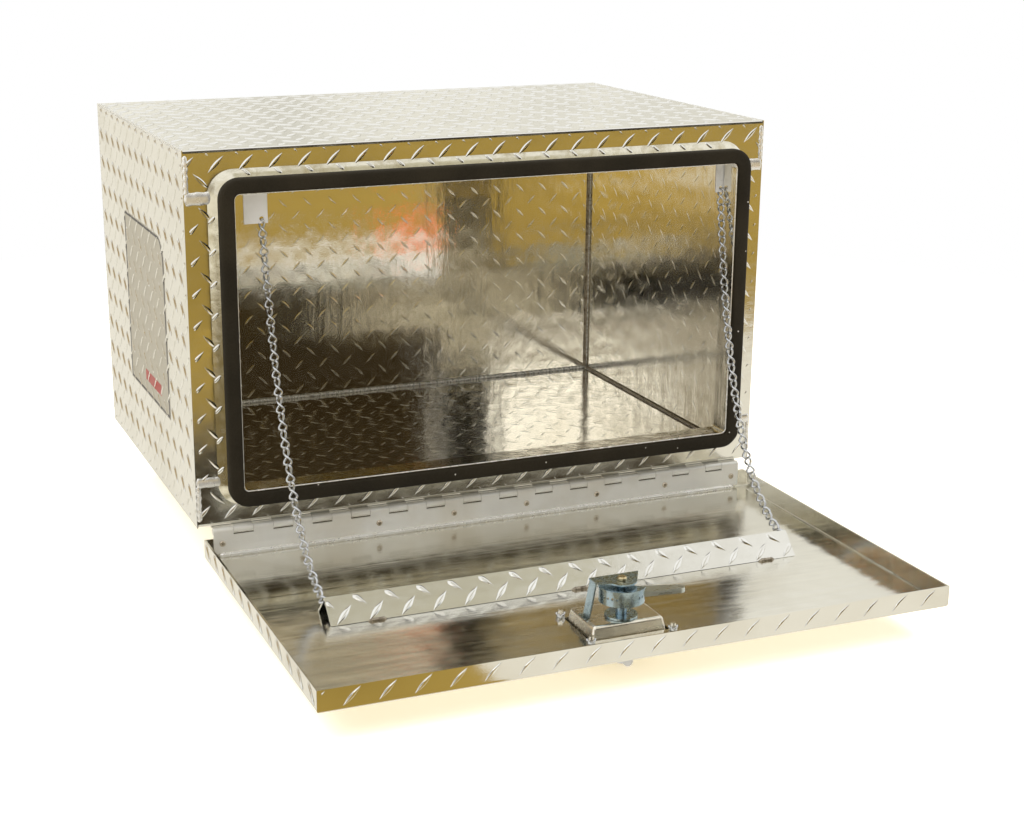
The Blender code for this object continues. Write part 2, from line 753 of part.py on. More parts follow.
def dish_opening(name, grow, low, high):
    """Make a cutter for the hole that the latch dish stands in."""
    outline = rounded_rectangle(DISH_WIDTH / 2 + grow, LATCH_Y - DISH_LENGTH / 2 - grow,
                                LATCH_Y + DISH_LENGTH / 2 + grow, DISH_ROUNDING, 3)
    return extrusion(name, [outline], "Z", low, high)


def stud_places():
    """Return X and Y of the four studs."""
    return [(side * STUD_X, LATCH_Y + end * STUD_Y) for end in (-1, 1) for side in (-1, 1)]


def build_door_panel():
    """Shallow tray of folded sheet."""
    half = DOOR_WIDTH / 2
    low = Vector((-half, DOOR_FRONT_Y, DOOR_OUTER_Z))
    high = Vector((half, DOOR_BACK_Y, DOOR_EDGE_Z))
    cage = bmesh.new()
    bmesh.ops.create_cube(cage, size=1.0)
    bmesh.ops.scale(cage, vec=high - low, verts=cage.verts)
    bmesh.ops.translate(cage, vec=(low + high) / 2, verts=cage.verts)
    lid = [face for face in cage.faces if face.normal.z > 0.5]
    bmesh.ops.delete(cage, geom=lid, context="FACES_ONLY")
    folds = [edge for edge in cage.edges
             if all(vert.co.z < DOOR_OUTER_Z + FIT for vert in edge.verts)]
    bmesh.ops.bevel(cage, geom=folds, offset=DOOR_BEND, segments=3, profile=0.5, affect="EDGES")
    panel = guide_from_bmesh("door_panel", cage)
    shell = panel.modifiers.new("sheet", "SOLIDIFY")
    shell.thickness = SHEET
    shell.offset = -1.0
    shell.use_even_offset = True
    shell.use_quality_normals = True
    level = HINGE_Z - RIVET_DROP
    ends = [((x, DOOR_BACK_Y - OVERRUN, level), (x, DOOR_BACK_Y + OVERRUN, level))
            for x in rivet_places()]
    studs = [((x, y, DOOR_OUTER_Z - OVERRUN), (x, y, DOOR_INNER_Z + OVERRUN))
             for x, y in stud_places()]
    cut(panel,
        dish_opening("door_dish_hole", DISH_CLEARANCE, DOOR_OUTER_Z - OVERRUN,
                     DOOR_INNER_Z + OVERRUN),
        rods("door_rivet_holes", ends, RIVET_RADIUS + FIT),
        rods("door_stud_holes", studs, STUD_RADIUS + FIT))
    return finish_part(panel, DOOR_AXIS, ALUMINIUM)


def build_stiffener():
    """Folded angle across the door, with a slot near each end for a chain."""
    foot = DOOR_INNER_Z + FIT
    wall = SHEET * math.sqrt(2)
    outline = [
        (STIFFENER_Y - STIFFENER_RISE, foot),
        (STIFFENER_Y - STIFFENER_RISE + wall, foot),
        (STIFFENER_Y, APEX_Z - wall),
        (STIFFENER_Y + STIFFENER_RISE - wall, foot),
        (STIFFENER_Y + STIFFENER_RISE, foot),
        (STIFFENER_Y, APEX_Z),
    ]
    half = STIFFENER_LENGTH / 2
    angle = extrusion("stiffener_angle", [outline], "X", -half, half)
    step = SHEET / math.sqrt(2)
    for slide in (-HOOK_SLOT_REACH, 0.0, HOOK_SLOT_REACH):
        y, z = slope_point(HOOK_ALONG + slide)
        ends = []
        for side in SIDES.values():
            x = side * (HOOK_X - LINK_HALF_WIDTH)
            ends.append(((x, y - step, z - step), (x, y + step, z + step)))
        cut(angle, rods("stiffener_chain_slot", ends, HOOK_SLOT_RADIUS))
    return finish_part(angle, DOOR_AXIS, ALUMINIUM)


# Latch

def build_latch_dish():
    """Pressed dish with its face plate and four welded studs."""
    outline = rounded_rectangle(PLATE_WIDTH / 2, LATCH_Y - PLATE_LENGTH / 2,
                                LATCH_Y + PLATE_LENGTH / 2, PLATE_CORNER)
    inner = rounded_rectangle(DISH_WIDTH / 2 - DISH_SHEET, LATCH_Y - DISH_LENGTH / 2 + DISH_SHEET,
                              LATCH_Y + DISH_LENGTH / 2 - DISH_SHEET, DISH_SHEET, 3)
    dish = extrusion("latch_dish", [outline, inner], "Z", PLATE_LOW_Z, PLATE_TOP_Z)
    studs = [((x, y, PLATE_TOP_Z - PLATE_SHEET / 2), (x, y, DOOR_INNER_Z + STUD_RISE))
             for x, y in stud_places()]
    fuse(dish, dish_shell(), rods("latch_studs", studs, STUD_RADIUS))
    shaft_hole = rod("dish_shaft_hole", (0.0, SHAFT_Y, DISH_UNDER_Z - OVERRUN),
                     (0.0, SHAFT_Y, DISH_TOP_Z + OVERRUN), SHAFT_RADIUS + FIT)
    cut(dish, shaft_hole)
    return finish_part(dish, DOOR_AXIS, STAINLESS)


def dish_shell():
    """Open bowl with drafted sides and rounded edges, its mouth down."""
    cage = bmesh.new()
    bmesh.ops.create_cube(cage, size=1.0)
    size = Vector((DISH_WIDTH, DISH_LENGTH, DISH_TOP_Z - PLATE_LOW_Z))
    bmesh.ops.scale(cage, vec=size, verts=cage.verts)
    centre = Vector((0.0, LATCH_Y, (DISH_TOP_Z + PLATE_LOW_Z) / 2))
    for vert in cage.verts:
        if vert.co.z > 0:
            vert.co.x -= math.copysign(DISH_DRAFT, vert.co.x)
            vert.co.y -= math.copysign(DISH_DRAFT, vert.co.y)
    bmesh.ops.translate(cage, vec=centre, verts=cage.verts)
    mouth = [face for face in cage.faces if face.normal.z < -0.5]
    bmesh.ops.delete(cage, geom=mouth, context="FACES_ONLY")
    edges = [edge for edge in cage.edges if not edge.is_boundary]
    bmesh.ops.bevel(cage, geom=edges, offset=DISH_ROUNDING, segments=3, profile=0.5,
                    affect="EDGES")
    shell = guide_from_bmesh("dish_bowl", cage)
    wall = shell.modifiers.new("sheet", "SOLIDIFY")
    wall.thickness = DISH_SHEET
    wall.offset = -1.0
    wall.use_even_offset = True
    return shell


def build_latch_gasket():
    """Thin rubber between the face plate and the door."""
    outline = rounded_rectangle(PLATE_WIDTH / 2, LATCH_Y - PLATE_LENGTH / 2,
                                LATCH_Y + PLATE_LENGTH / 2, PLATE_CORNER)
    inner = rounded_rectangle(DISH_WIDTH / 2 + FIT, LATCH_Y - DISH_LENGTH / 2 - FIT,
                              LATCH_Y + DISH_LENGTH / 2 + FIT, DISH_ROUNDING, 3)
    loops = [outline, inner]
    loops += [circle(place, STUD_RADIUS + FIT, SMALL_SEGMENTS) for place in stud_places()]
    low = PLATE_TOP_Z + FIT
    gasket = extrusion("latch_gasket", loops, "Z", low, low + GASKET)
    return finish_part(gasket, DOOR_AXIS, RUBBER)


def build_latch_nuts():
    """A nut on each stud, inside the door."""
    low = DOOR_INNER_Z + FIT
    for number, place in enumerate(stud_places(), start=1):
        loops = [circle(place, NUT_RADIUS, 6), circle(place, STUD_RADIUS + FIT, SMALL_SEGMENTS)]
        nut = extrusion(f"latch_nut_{number}", loops, "Z", low, low + NUT_HEIGHT)
        finish_part(nut, DOOR_AXIS, ZINC)


def build_latch_bridge():
    """Folded plate that stands on the dish and steadies the top of the shaft."""
    half_sheet = BRIDGE_SHEET / 2
    foot = DISH_TOP_Z + FIT + half_sheet
    wall_top_x = BRIDGE_WALL_X + BRIDGE_LEAN
    path = [(BRIDGE_WALL_X - BRIDGE_FOOT, foot), (BRIDGE_WALL_X, foot),
            (wall_top_x, BRIDGE_TOP_Z - half_sheet)]
    front, back = SHAFT_Y + BRIDGE_WALL_SETBACK, SHAFT_Y + BRIDGE_BACK
    bridge = extrusion("latch_bridge", [bent_strip(filleted(path, BRIDGE_SHEET), BRIDGE_SHEET)],
                       "Y", front, back)
    edge = wall_top_x - BRIDGE_SHEET
    outline = [(edge, back + half_sheet), (edge, front - half_sheet)]
    outline += arc((0.0, SHAFT_Y), BRIDGE_ROUND, BRIDGE_ROUND_START_DEGREES,
                   BRIDGE_ROUND_END_DEGREES, ROUND_SEGMENTS)
    outline.append((BRIDGE_BACK_TIP_X, back + half_sheet))
    loops = [outline, circle((0.0, SHAFT_Y), SCREW_RADIUS + FIT)]
    fuse(bridge, extrusion("bridge_top", loops, "Z", BRIDGE_TOP_Z - BRIDGE_SHEET, BRIDGE_TOP_Z))
    return finish_part(bridge, DOOR_AXIS, ZINC)


def build_latch_shaft():
    """Shaft with the forked hub that carries the handle."""
    hub_edge = HUB_RADIUS
    profile = [
        (0.0, SHAFT_TOP_Z),
        (SHAFT_RADIUS, SHAFT_TOP_Z),
        (SHAFT_RADIUS, HUB_TOP_Z),
        (hub_edge, HUB_TOP_Z),
        (hub_edge, HUB_LOW_Z),
        (0.0, HUB_LOW_Z),
    ]
    shaft = turned("latch_shaft", profile, (0.0, SHAFT_Y, 0.0), (0, 0, 1))
    inner = EYE_HALF_WIDTH + FIT
    outer = inner + EAR_THICKNESS
    for number, side in enumerate((-1, 1)):
        y_low, y_high = sorted((SHAFT_Y + side * inner, SHAFT_Y + side * outer))
        ear = block(f"hub_ear_{number}",
                    (PIVOT_X - EAR_HALF_LENGTH, y_low, HUB_LOW_Z - EAR_DROP),
                    (PIVOT_X + EAR_HALF_LENGTH, y_high, HUB_LOW_Z + HUB_THICKNESS / 2))
        fuse(shaft, ear)
    pin_hole = rod("ear_pin_hole", (PIVOT_X, SHAFT_Y - outer - OVERRUN, PIVOT_Z),
                   (PIVOT_X, SHAFT_Y + outer + OVERRUN, PIVOT_Z), HANDLE_PIN_RADIUS + FIT,
                   SMALL_SEGMENTS)
    screw_hole = rod("shaft_screw_hole", (0.0, SHAFT_Y, SHAFT_TOP_Z - SCREW_DEPTH - FIT),
                     (0.0, SHAFT_Y, SHAFT_TOP_Z + OVERRUN), SCREW_RADIUS + FIT, SMALL_SEGMENTS)
    cut(shaft, pin_hole, screw_hole)
    return finish_part(shaft, LATCH_AXIS, STAINLESS)


def build_latch_disc():
    """Flat washer between the dish and the works."""
    low = DISH_TOP_Z + FIT
    loops = [circle((0.0, SHAFT_Y), DISC_RADIUS, ROUND_SEGMENTS + SMALL_SEGMENTS),
             circle((0.0, SHAFT_Y), SHAFT_RADIUS + FIT)]
    disc = extrusion("latch_disc", loops, "Z", low, low + DISC_THICKNESS)
    return finish_part(disc, LATCH_AXIS, ZINC)


def build_latch_arm():
    """Tapered arm that hooks behind the top of the doorway."""
    half_root, half_tip = ARM_ROOT_WIDTH / 2, ARM_TIP_WIDTH / 2
    root_angle = math.degrees(math.asin(half_root / ARM_EYE_RADIUS))
    turn = math.radians(ARM_TURN_DEGREES)
    reach = ARM_REACH - half_tip
    tip = (reach * math.cos(turn), SHAFT_Y + reach * math.sin(turn))
    outline = arc((0.0, SHAFT_Y), ARM_EYE_RADIUS, ARM_TURN_DEGREES + root_angle,
                  ARM_TURN_DEGREES + 360 - root_angle, ROUND_SEGMENTS)
    outline += arc(tip, half_tip, ARM_TURN_DEGREES - 90, ARM_TURN_DEGREES + 90, CORNER_STEPS)
    loops = [outline, circle((0.0, SHAFT_Y), SHAFT_RADIUS + FIT)]
    arm = extrusion("latch_arm", loops, "Z", ARM_LOW_Z, ARM_LOW_Z + ARM_THICKNESS)
    return finish_part(arm, LATCH_AXIS, ZINC)


def build_latch_cam():
    """Stamped cover that turns with the shaft, curved round one side of it."""
    bow = arc((0.0, SHAFT_Y), CAM_RADIUS - CAM_SHEET, CAM_START_DEGREES + CAM_SETBACK_DEGREES,
              CAM_END_DEGREES - CAM_SETBACK_DEGREES, ROUND_SEGMENTS)
    cam = extrusion("latch_cam", [bent_strip(bow, CAM_SHEET)], "Z", CAM_LOW_Z,
                    CAM_TOP_Z - CAM_SHEET / 2)
    cap = arc((0.0, SHAFT_Y), CAM_RADIUS, CAM_START_DEGREES, CAM_END_DEGREES, ROUND_SEGMENTS)
    cap += arc((0.0, SHAFT_Y), ARM_EYE_RADIUS, CAM_END_DEGREES, CAM_START_DEGREES + 360,
               ROUND_SEGMENTS)
    loops = [cap, circle((0.0, SHAFT_Y), SHAFT_RADIUS + FIT)]
    fuse(cam, extrusion("cam_cap", loops, "Z", CAM_TOP_Z - CAM_SHEET, CAM_TOP_Z))
    level = (CAM_LOW_Z + CAM_TOP_Z) / 2
    ends = []
    for degrees in CAM_HOLE_DEGREES:
        way = Vector((math.cos(math.radians(degrees)), math.sin(math.radians(degrees)), 0.0))
        start = Vector((0.0, SHAFT_Y, level)) + way * (CAM_RADIUS - OVERRUN)
        ends.append((start, start + way * 2 * OVERRUN))
    cut(cam, rods("cam_holes", ends, CAM_HOLE_RADIUS, CORNER_STEPS))
    return finish_part(cam, LATCH_AXIS, ZINC)


def build_latch_screw():
    """Screw in the top of the shaft."""
    seat = BRIDGE_TOP_Z + FIT
    profile = [
        (0.0, seat + SCREW_HEAD_HEIGHT),
        (SCREW_HEAD_RADIUS * 0.75, seat + SCREW_HEAD_HEIGHT),
        (SCREW_HEAD_RADIUS, seat + SCREW_HEAD_HEIGHT * 0.6),
        (SCREW_HEAD_RADIUS, seat),
        (SCREW_RADIUS, seat),
        (SCREW_RADIUS, SHAFT_TOP_Z - SCREW_DEPTH),
        (0.0, SHAFT_TOP_Z - SCREW_DEPTH),
    ]
    screw = turned("latch_screw", profile, (0.0, SHAFT_Y, 0.0), (0, 0, 1), SMALL_SEGMENTS)
    return finish_part(screw, LATCH_AXIS, ZINC)


# Handle and lock

def build_handle():
    """Tee handle on its stem, with a boss for the lock."""
    centre = (PIVOT_X, SHAFT_Y)
    half_tee = TEE_LENGTH / 2
    tee = rod("tee_handle", (PIVOT_X, SHAFT_Y - half_tee, TEE_Z),
              (PIVOT_X, SHAFT_Y + half_tee, TEE_Z), TEE_RADIUS)
    soften(tee, TEE_RADIUS / 4, angle=70.0)
    stem = rod("tee_stem", (*centre, TEE_Z), (*centre, PIVOT_Z), STEM_RADIUS)
    eye = rod("tee_eye", (PIVOT_X, SHAFT_Y - EYE_HALF_WIDTH, PIVOT_Z),
              (PIVOT_X, SHAFT_Y + EYE_HALF_WIDTH, PIVOT_Z), EYE_RADIUS)
    boss = rod("tee_boss", (*centre, BOSS_LOW_Z), (*centre, BOSS_LOW_Z + BOSS_HEIGHT),
               BOSS_RADIUS)
    fuse(tee, stem, eye, boss)
    pin_hole = rod("tee_pin_hole", (PIVOT_X, SHAFT_Y - EYE_HALF_WIDTH - OVERRUN, PIVOT_Z),
                   (PIVOT_X, SHAFT_Y + EYE_HALF_WIDTH + OVERRUN, PIVOT_Z),
                   HANDLE_PIN_RADIUS + FIT, SMALL_SEGMENTS)
    bore = rod("tee_lock_bore", (*centre, BOSS_LOW_Z - OVERRUN),
               (*centre, BOSS_LOW_Z + PLUG_DEPTH + FIT), PLUG_RADIUS + FIT)
    cut(tee, pin_hole, bore)
    finish_part(smooth(tee), HANDLE_AXIS, STAINLESS)

    reach = EYE_HALF_WIDTH + FIT + EAR_THICKNESS + FIT
    pin = rod("handle_pin", (PIVOT_X, SHAFT_Y - reach, PIVOT_Z), (PIVOT_X, SHAFT_Y + reach, PIVOT_Z),
              HANDLE_PIN_RADIUS, SMALL_SEGMENTS)
    finish_part(smooth(pin), LATCH_AXIS, STAINLESS)


def build_lock_plug():
    """Plug of the lock, with its key slot facing out."""
    centre = (PIVOT_X, SHAFT_Y)
    face = BOSS_LOW_Z - PLUG_PROUD
    plug = rod("lock_plug", (*centre, face), (*centre, BOSS_LOW_Z + PLUG_DEPTH), PLUG_RADIUS)
    slot = block("key_slot", (PIVOT_X - KEY_SLOT_WIDTH / 2, SHAFT_Y - KEY_SLOT_LENGTH / 2,
                              face - OVERRUN),
                 (PIVOT_X + KEY_SLOT_WIDTH / 2, SHAFT_Y + KEY_SLOT_LENGTH / 2,
                  face + PLUG_DEPTH / 2))
    cut(plug, slot)
    return finish_part(plug, KEY_AXIS, STAINLESS)


# Chains

def hanging_points(high, low, length, count):
    """Return evenly spaced points of a slack chain between two ends, from the high end.

    The chain follows a catenary of the given length. Its scale is found by halving an interval.
    """
    across = high[0] - low[0]
    rise = high[1] - low[1]
    wanted = math.sqrt(length * length - rise * rise)
    tight, loose = across * 10, across / 40
    for _ in range(60):
        scale = (tight + loose) / 2
        if 2 * scale * math.sinh(across / (2 * scale)) > wanted:
            loose = scale
        else:
            tight = scale
    middle = across / 2 - scale * math.asinh(rise / (2 * scale * math.sinh(across / (2 * scale))))
    start = scale * math.sinh(-middle / scale)
    points = []
    for index in range(count + 1):
        along = start + length * (count - index) / count
        offset = middle + scale * math.asinh(along / scale)
        level = scale * (math.cosh((offset - middle) / scale) - math.cosh(-middle / scale))
        points.append((low[0] + offset, low[1] + level))
    return points


def link_mesh(length):
    """Make one wire link along Z, as a ring whose halves are drawn apart."""
    bpy.ops.mesh.primitive_torus_add(major_segments=LINK_SEGMENTS, minor_segments=WIRE_SEGMENTS,
                                     major_radius=LINK_HALF_WIDTH, minor_radius=LINK_WIRE_RADIUS)
    item = bpy.context.object
    mesh = item.data
    bpy.data.objects.remove(item, do_unlink=True)
    half_step = Matrix.Rotation(math.pi / LINK_SEGMENTS, 4, "Z")
    upright = Matrix.Rotation(math.pi / 2, 4, "X")
    mesh.transform(upright @ half_step)
    stretch = length / 2 - LINK_HALF_WIDTH
    for vert in mesh.vertices:
        vert.co.z += math.copysign(stretch, vert.co.z)
    return mesh


def chain_run(name, path, x_start, x_end, first_turn, sink):
    """Make a run of links as one body, with every second link turned a quarter round."""
    cages = (bmesh.new(), bmesh.new())
    count = len(path) - 1
    for index in range(count):
        share = index / (count - 1)
        start, end = Vector(path[index]), Vector(path[index + 1])
        first, last = LINK_OVERLAP / 2, LINK_OVERLAP / 2
        if index == 0:
            first = sink
        way = (end - start).normalized()
        start, end = start - way * first, end + way * last
        mesh = link_mesh((end - start).length)
        middle = (start + end) / 2
        centre = Vector((x_start + (x_end - x_start) * share, middle.x, middle.y))
        tangent = Vector((0.0, way.x, way.y))
        across = Vector((1.0, 0.0, 0.0))
        if (index + first_turn) % 2:
            across = tangent.cross(across)
        normal = tangent.cross(across)
        frame = Matrix((across, normal, tangent)).transposed().to_4x4()
        mesh.transform(Matrix.Translation(centre) @ frame)
        cages[index % 2].from_mesh(mesh)
        bpy.data.meshes.remove(mesh)
    for cage in cages:
        bmesh.ops.recalc_face_normals(cage, faces=cage.faces)
    run = guide_from_bmesh(name, cages[0])
    others = guide_from_bmesh(name + "_others", cages[1])
    return fuse(run, others)


def build_chain(side_name, side):
    """One chain in two runs: one swings at the bracket and one swings at the door."""
    path, split = chain_course()
    top_x, foot_x = side * (BRACKET_X[side_name] - BRACKET_HOLE_SETBACK), side * HOOK_X
    loose_x = foot_x + side * LOWER_DRIFT
    upper_axis = carrier("chain_upper_axis_" + side_name, (top_x, *CHAIN_TOP), BOX)
    lower_axis = carrier("chain_lower_axis_" + side_name, (foot_x, *CHAIN_FOOT), DOOR_AXIS)
    upper = chain_run("chain_upper_" + side_name, path[:split + 1], top_x,
                      loose_x + side * RUN_SIDESTEP[side_name], 1, 0.0)
    lower = chain_run("chain_lower_" + side_name, path[:split - 1:-1], foot_x,
                      loose_x, 0, HOOK_SINK)
    finish_part(upper, upper_axis, ZINC)
    finish_part(lower, lower_axis, ZINC)


def chain_course():
    """Return the chain's points from the bracket down, and the link at which it is divided.

    The lower run has the fewest links with which both runs' loose ends meet again once the door
    is shut, so that it lies close along the door.
    """
    span = (Vector(CHAIN_TOP) - Vector(CHAIN_FOOT)).length
    links = round(span * (1 + CHAIN_SLACK_SHARE) / CHAIN_PITCH)
    path = hanging_points(CHAIN_TOP, CHAIN_FOOT, CHAIN_PITCH * links, links)
    split = links - 1
    while cosine_when_shut(path, split) > 1.0:
        split -= 1
    return path, split


def chords(path, split):
    """Return the straight lengths of the upper and the lower run."""
    top, loose, foot = Vector(path[0]), Vector(path[split]), Vector(path[-1])
    return (loose - top).length, (loose - foot).length


def shut_span(path):
    """Return the way from the chain's top to its foot once the door is shut."""
    return Vector(closed_place((0.0, *path[-1]))[1:]) - Vector(path[0])


def cosine_when_shut(path, split):
    """Return the cosine between the upper run and the way to the foot, with the door shut."""
    long, short = chords(path, split)
    between = shut_span(path).length
    return (long ** 2 + between ** 2 - short ** 2) / (2 * long * between)


def swing(path):
    """Return the angle of a run's chord above the forward level, in degrees."""
    chord = Vector(path[-1]) - Vector(path[0])
    return math.degrees(math.atan2(chord.y, -chord.x))


def report_chain():
    """Print how far each run turns as the door shuts, so that their loose ends meet again."""
    path, split = chain_course()
    top, foot = Vector(path[0]), Vector(path[-1])
    upper, lower = path[:split + 1], path[:split - 1:-1]
    long = chords(path, split)[0]
    between = shut_span(path)
    shut = top + between
    cosine = cosine_when_shut(path, split)
    down = math.degrees(math.atan2(between.y, -between.x)) - math.degrees(math.acos(cosine))
    meeting = top + Vector((-math.cos(math.radians(down)), math.sin(math.radians(down)))) * long
    rest = swing([shut, meeting])
    print("links", split, "above and", len(path) - 1 - split, "below, from", top[:], "to", foot[:],
          "with ends that meet at", meeting[:])
    print("upper run turns", round(down - swing(upper), 3), "lower run turns on the door",
          round((rest - swing(lower)) % 360 - 90, 3))


def main():
    """Build every piece."""
    build_wrap()
    build_seal()
    build_hinge()
    build_rivets()
    build_door_panel()
    build_stiffener()
    build_latch_dish()
    build_latch_gasket()
    build_latch_nuts()
    build_latch_bridge()
    build_latch_shaft()
    build_latch_disc()
    build_latch_arm()
    build_latch_cam()
    build_latch_screw()
    build_handle()
    build_lock_plug()
    for side_name, side in SIDES.items():
        build_end_panel(side_name, side)
        build_chain_bracket(side_name, side)
        build_chain(side_name, side)
    report_chain()


main()
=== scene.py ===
import logging
import math
from dataclasses import dataclass
from enum import Enum
from typing import Callable, Iterable, Optional

import bmesh
import bpy
import numpy as np
from mathutils import Matrix, Vector


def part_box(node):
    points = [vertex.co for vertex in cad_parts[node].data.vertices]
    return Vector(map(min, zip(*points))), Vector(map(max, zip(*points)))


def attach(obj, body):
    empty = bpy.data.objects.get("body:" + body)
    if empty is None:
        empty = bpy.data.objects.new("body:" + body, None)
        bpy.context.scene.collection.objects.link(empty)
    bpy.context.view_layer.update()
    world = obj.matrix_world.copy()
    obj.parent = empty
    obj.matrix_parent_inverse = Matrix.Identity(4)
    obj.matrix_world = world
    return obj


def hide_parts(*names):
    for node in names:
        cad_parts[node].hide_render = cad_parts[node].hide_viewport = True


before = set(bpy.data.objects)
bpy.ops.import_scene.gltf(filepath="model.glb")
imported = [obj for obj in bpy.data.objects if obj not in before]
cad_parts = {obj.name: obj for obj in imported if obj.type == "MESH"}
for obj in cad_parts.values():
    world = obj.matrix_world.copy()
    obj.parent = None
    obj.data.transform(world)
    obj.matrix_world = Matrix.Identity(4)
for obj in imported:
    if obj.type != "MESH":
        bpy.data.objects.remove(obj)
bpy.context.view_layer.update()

LOG = logging.getLogger("tool_box")

# The box's own frame: X across from its centre, Y back from the front flange, Z up from the
# underside, in metres. ORIGIN is where its zero lies in the world. SHEET is how thick the sheets
# are, and SKIN is what the dressed copies of some give up to the lugs.
ORIGIN = np.array([0.0, -0.2032, -0.3680])
SHEET = 0.0020
SKIN = 0.0010
BOX_HALF = 0.3075
BOX_DEPTH = 0.4064
BOX_HEIGHT = 0.3680
DOOR_HALF = 0.3010
DOOR_BACK = -0.0019
DOOR_FRONT = -0.3685
DOOR_UNDER = -0.0317
DOOR_EDGE = -0.0112

RIGHT, BACK, UP = (1, 0, 0), (0, 1, 0), (0, 0, 1)
LEFT, FRONT, DOWN = (-1, 0, 0), (0, -1, 0), (0, 0, -1)
DIAGONAL = math.sqrt(0.5)

# A direction that no seam runs along.
SKEW = (0.31, 0.52, 0.79)

# A redressed face stays flat if its normal lies along an axis to within LEVEL, or if its area is
# over LARGE, in square metres.
LEVEL = 0.9999
LARGE = 6e-5

Colour = tuple[float, float, float]
Point = tuple[float, float, float]
Span = tuple[float, float]
PointRule = Callable[[np.ndarray], np.ndarray]
WHITE: Colour = (1.0, 1.0, 1.0)


class Slot(Enum):
    """The material slots of the record."""

    BODY = "aluminium_body"
    DOOR = "aluminium_door"
    BRACKET = "aluminium_bracket"
    RUBBER = "black_rubber"
    HINGE = "hinge_steel"
    RIVET = "rivet_aluminium"
    LATCH = "latch_steel"
    ZINC = "zinc_plate"
    BRASS = "brass_screw"
    CHAIN = "chain_zinc"
    HANDLE = "handle_steel"


class Lay(Enum):
    """Which of the tread's two sets of lugs a panel carries, by their numbers."""

    BOTH = (0, 1)
    FIRST = (0,)


# Node graphs

class Graph:
    """A material or world tree with short calls for its nodes."""

    def __init__(self, tree: bpy.types.NodeTree) -> None:
        """Take over a tree and empty it."""
        self.tree = tree
        tree.nodes.clear()

    def node(self, kind: str, **values: object) -> bpy.types.Node:
        """Add a node.

        Args:
            kind: the node's type without its ShaderNode prefix.
            values: socket values by name with spaces as underscores, or node settings.
        Returns:
            The new node.
        """
        made = self.tree.nodes.new("ShaderNode" + kind)
        settings = {k: v for k, v in values.items() if k.islower() and hasattr(made, k)}
        for key, value in settings.items():
            setattr(made, key, value)
        for key, value in values.items():
            if key in settings:
                continue
            socket = made.inputs[int(key[1:])] if key[0] == "i" and key[1:].isdigit() \
                else made.inputs[key.replace("_", " ")]
            if isinstance(value, bpy.types.NodeSocket):
                self.tree.links.new(value, socket)
            else:
                socket.default_value = value
        return made

    def maths(self, step: str, first: object, second: object = 0.0,
              third: object = 0.0) -> bpy.types.NodeSocket:
        """Add one Math step and return its result.

        Args:
            step: the operation.
            first: number or socket.
            second: number or socket.
            third: number or socket.
        Returns:
            The output socket.
        """
        return self.node("Math", operation=step, i0=first, i1=second, i2=third).outputs[0]

    def add(self, first: object, *others: object) -> bpy.types.NodeSocket:
        """Add up numbers or sockets.

        Args:
            first: the first of them.
            others: the rest.
        Returns:
            The sum.
        """
        for other in others:
            first = self.maths("ADD", first, other)
        return first

    def times(self, first: object, second: object) -> bpy.types.NodeSocket:
        """Multiply two numbers or sockets and return the product."""
        return self.maths("MULTIPLY", first, second)

    def over(self, value: object, limit: object) -> bpy.types.NodeSocket:
        """Return 1 where a value is over a limit, and 0 elsewhere."""
        return self.maths("GREATER_THAN", value, limit)

    def under(self, value: object, limit: object) -> bpy.types.NodeSocket:
        """Return 1 where a value is under a limit, and 0 elsewhere."""
        return self.maths("LESS_THAN", value, limit)

    def blend(self, share: object, low: object, high: object) -> bpy.types.NodeSocket:
        """Mix two colours by a share and return the colour."""
        return self.node("Mix", data_type="RGBA", i0=share, i6=low, i7=high).outputs[2]

    def either(self, first: object, second: object) -> bpy.types.NodeSocket:
        """Return the larger of two values, which joins two masks."""
        return self.maths("MAXIMUM", first, second)

    def near(self, value: object, middle: float) -> bpy.types.NodeSocket:
        """Return how far a value lies from a middle."""
        return self.maths("ABSOLUTE", self.maths("SUBTRACT", value, middle))

    def mix(self, share: object, low: object, high: object) -> bpy.types.NodeSocket:
        """Mix two shaders by a share and return the shader."""
        return self.node("MixShader", i0=share, i1=low, i2=high).outputs[0]

    def glow(self, colour: Colour, strength: object = 1.0) -> bpy.types.NodeSocket:
        """Add an even glow and return its shader."""
        return self.node("Emission", Color=rgba(colour), Strength=strength).outputs[0]

    def seen(self, path: bpy.types.NodeOutputs) -> bpy.types.NodeSocket:
        """Tell the rays that show the surface from those that only bring light.

        Args:
            path: the outputs of the Light Path node.
        Returns:
            1 for rays of the camera and those that were mirrored or passed through.
        """
        return self.either(path["Is Camera Ray"],
                           self.either(path["Is Glossy Ray"], path["Is Transmission Ray"]))

    def noise(self, scale: float, stretch: Point = (1, 1, 1), detail: float = 4.0,
              warp: float = 0.0) -> bpy.types.NodeSocket:
        """Add noise on the object's own coordinates.

        Args:
            scale: how many features fit in a metre.
            stretch: how much faster the pattern changes along each axis.
            detail: octaves.
            warp: distortion.
        Returns:
            The noise value from 0 to 1.
        """
        place = self.node("Mapping", i0=self.place(), i3=stretch).outputs[0]
        return self.node("TexNoise", Vector=place, Scale=scale, Detail=detail,
                         Distortion=warp).outputs[0]

    def place(self) -> bpy.types.NodeSocket:
        """Return the object's own coordinates."""
        return self.node("TexCoord").outputs["Object"]

    def range(self, value: object, low: float, high: float, start: float = 0.3,
              end: float = 0.7) -> bpy.types.NodeSocket:
        """Map start to end onto low to high and return the result."""
        return self.node("MapRange", i0=value, i1=start, i2=end, i3=low, i4=high).outputs[0]


def rgba(colour: Colour) -> tuple[float, float, float, float]:
    """Return a colour with a full alpha."""
    return (*colour, 1.0)


# Finishes

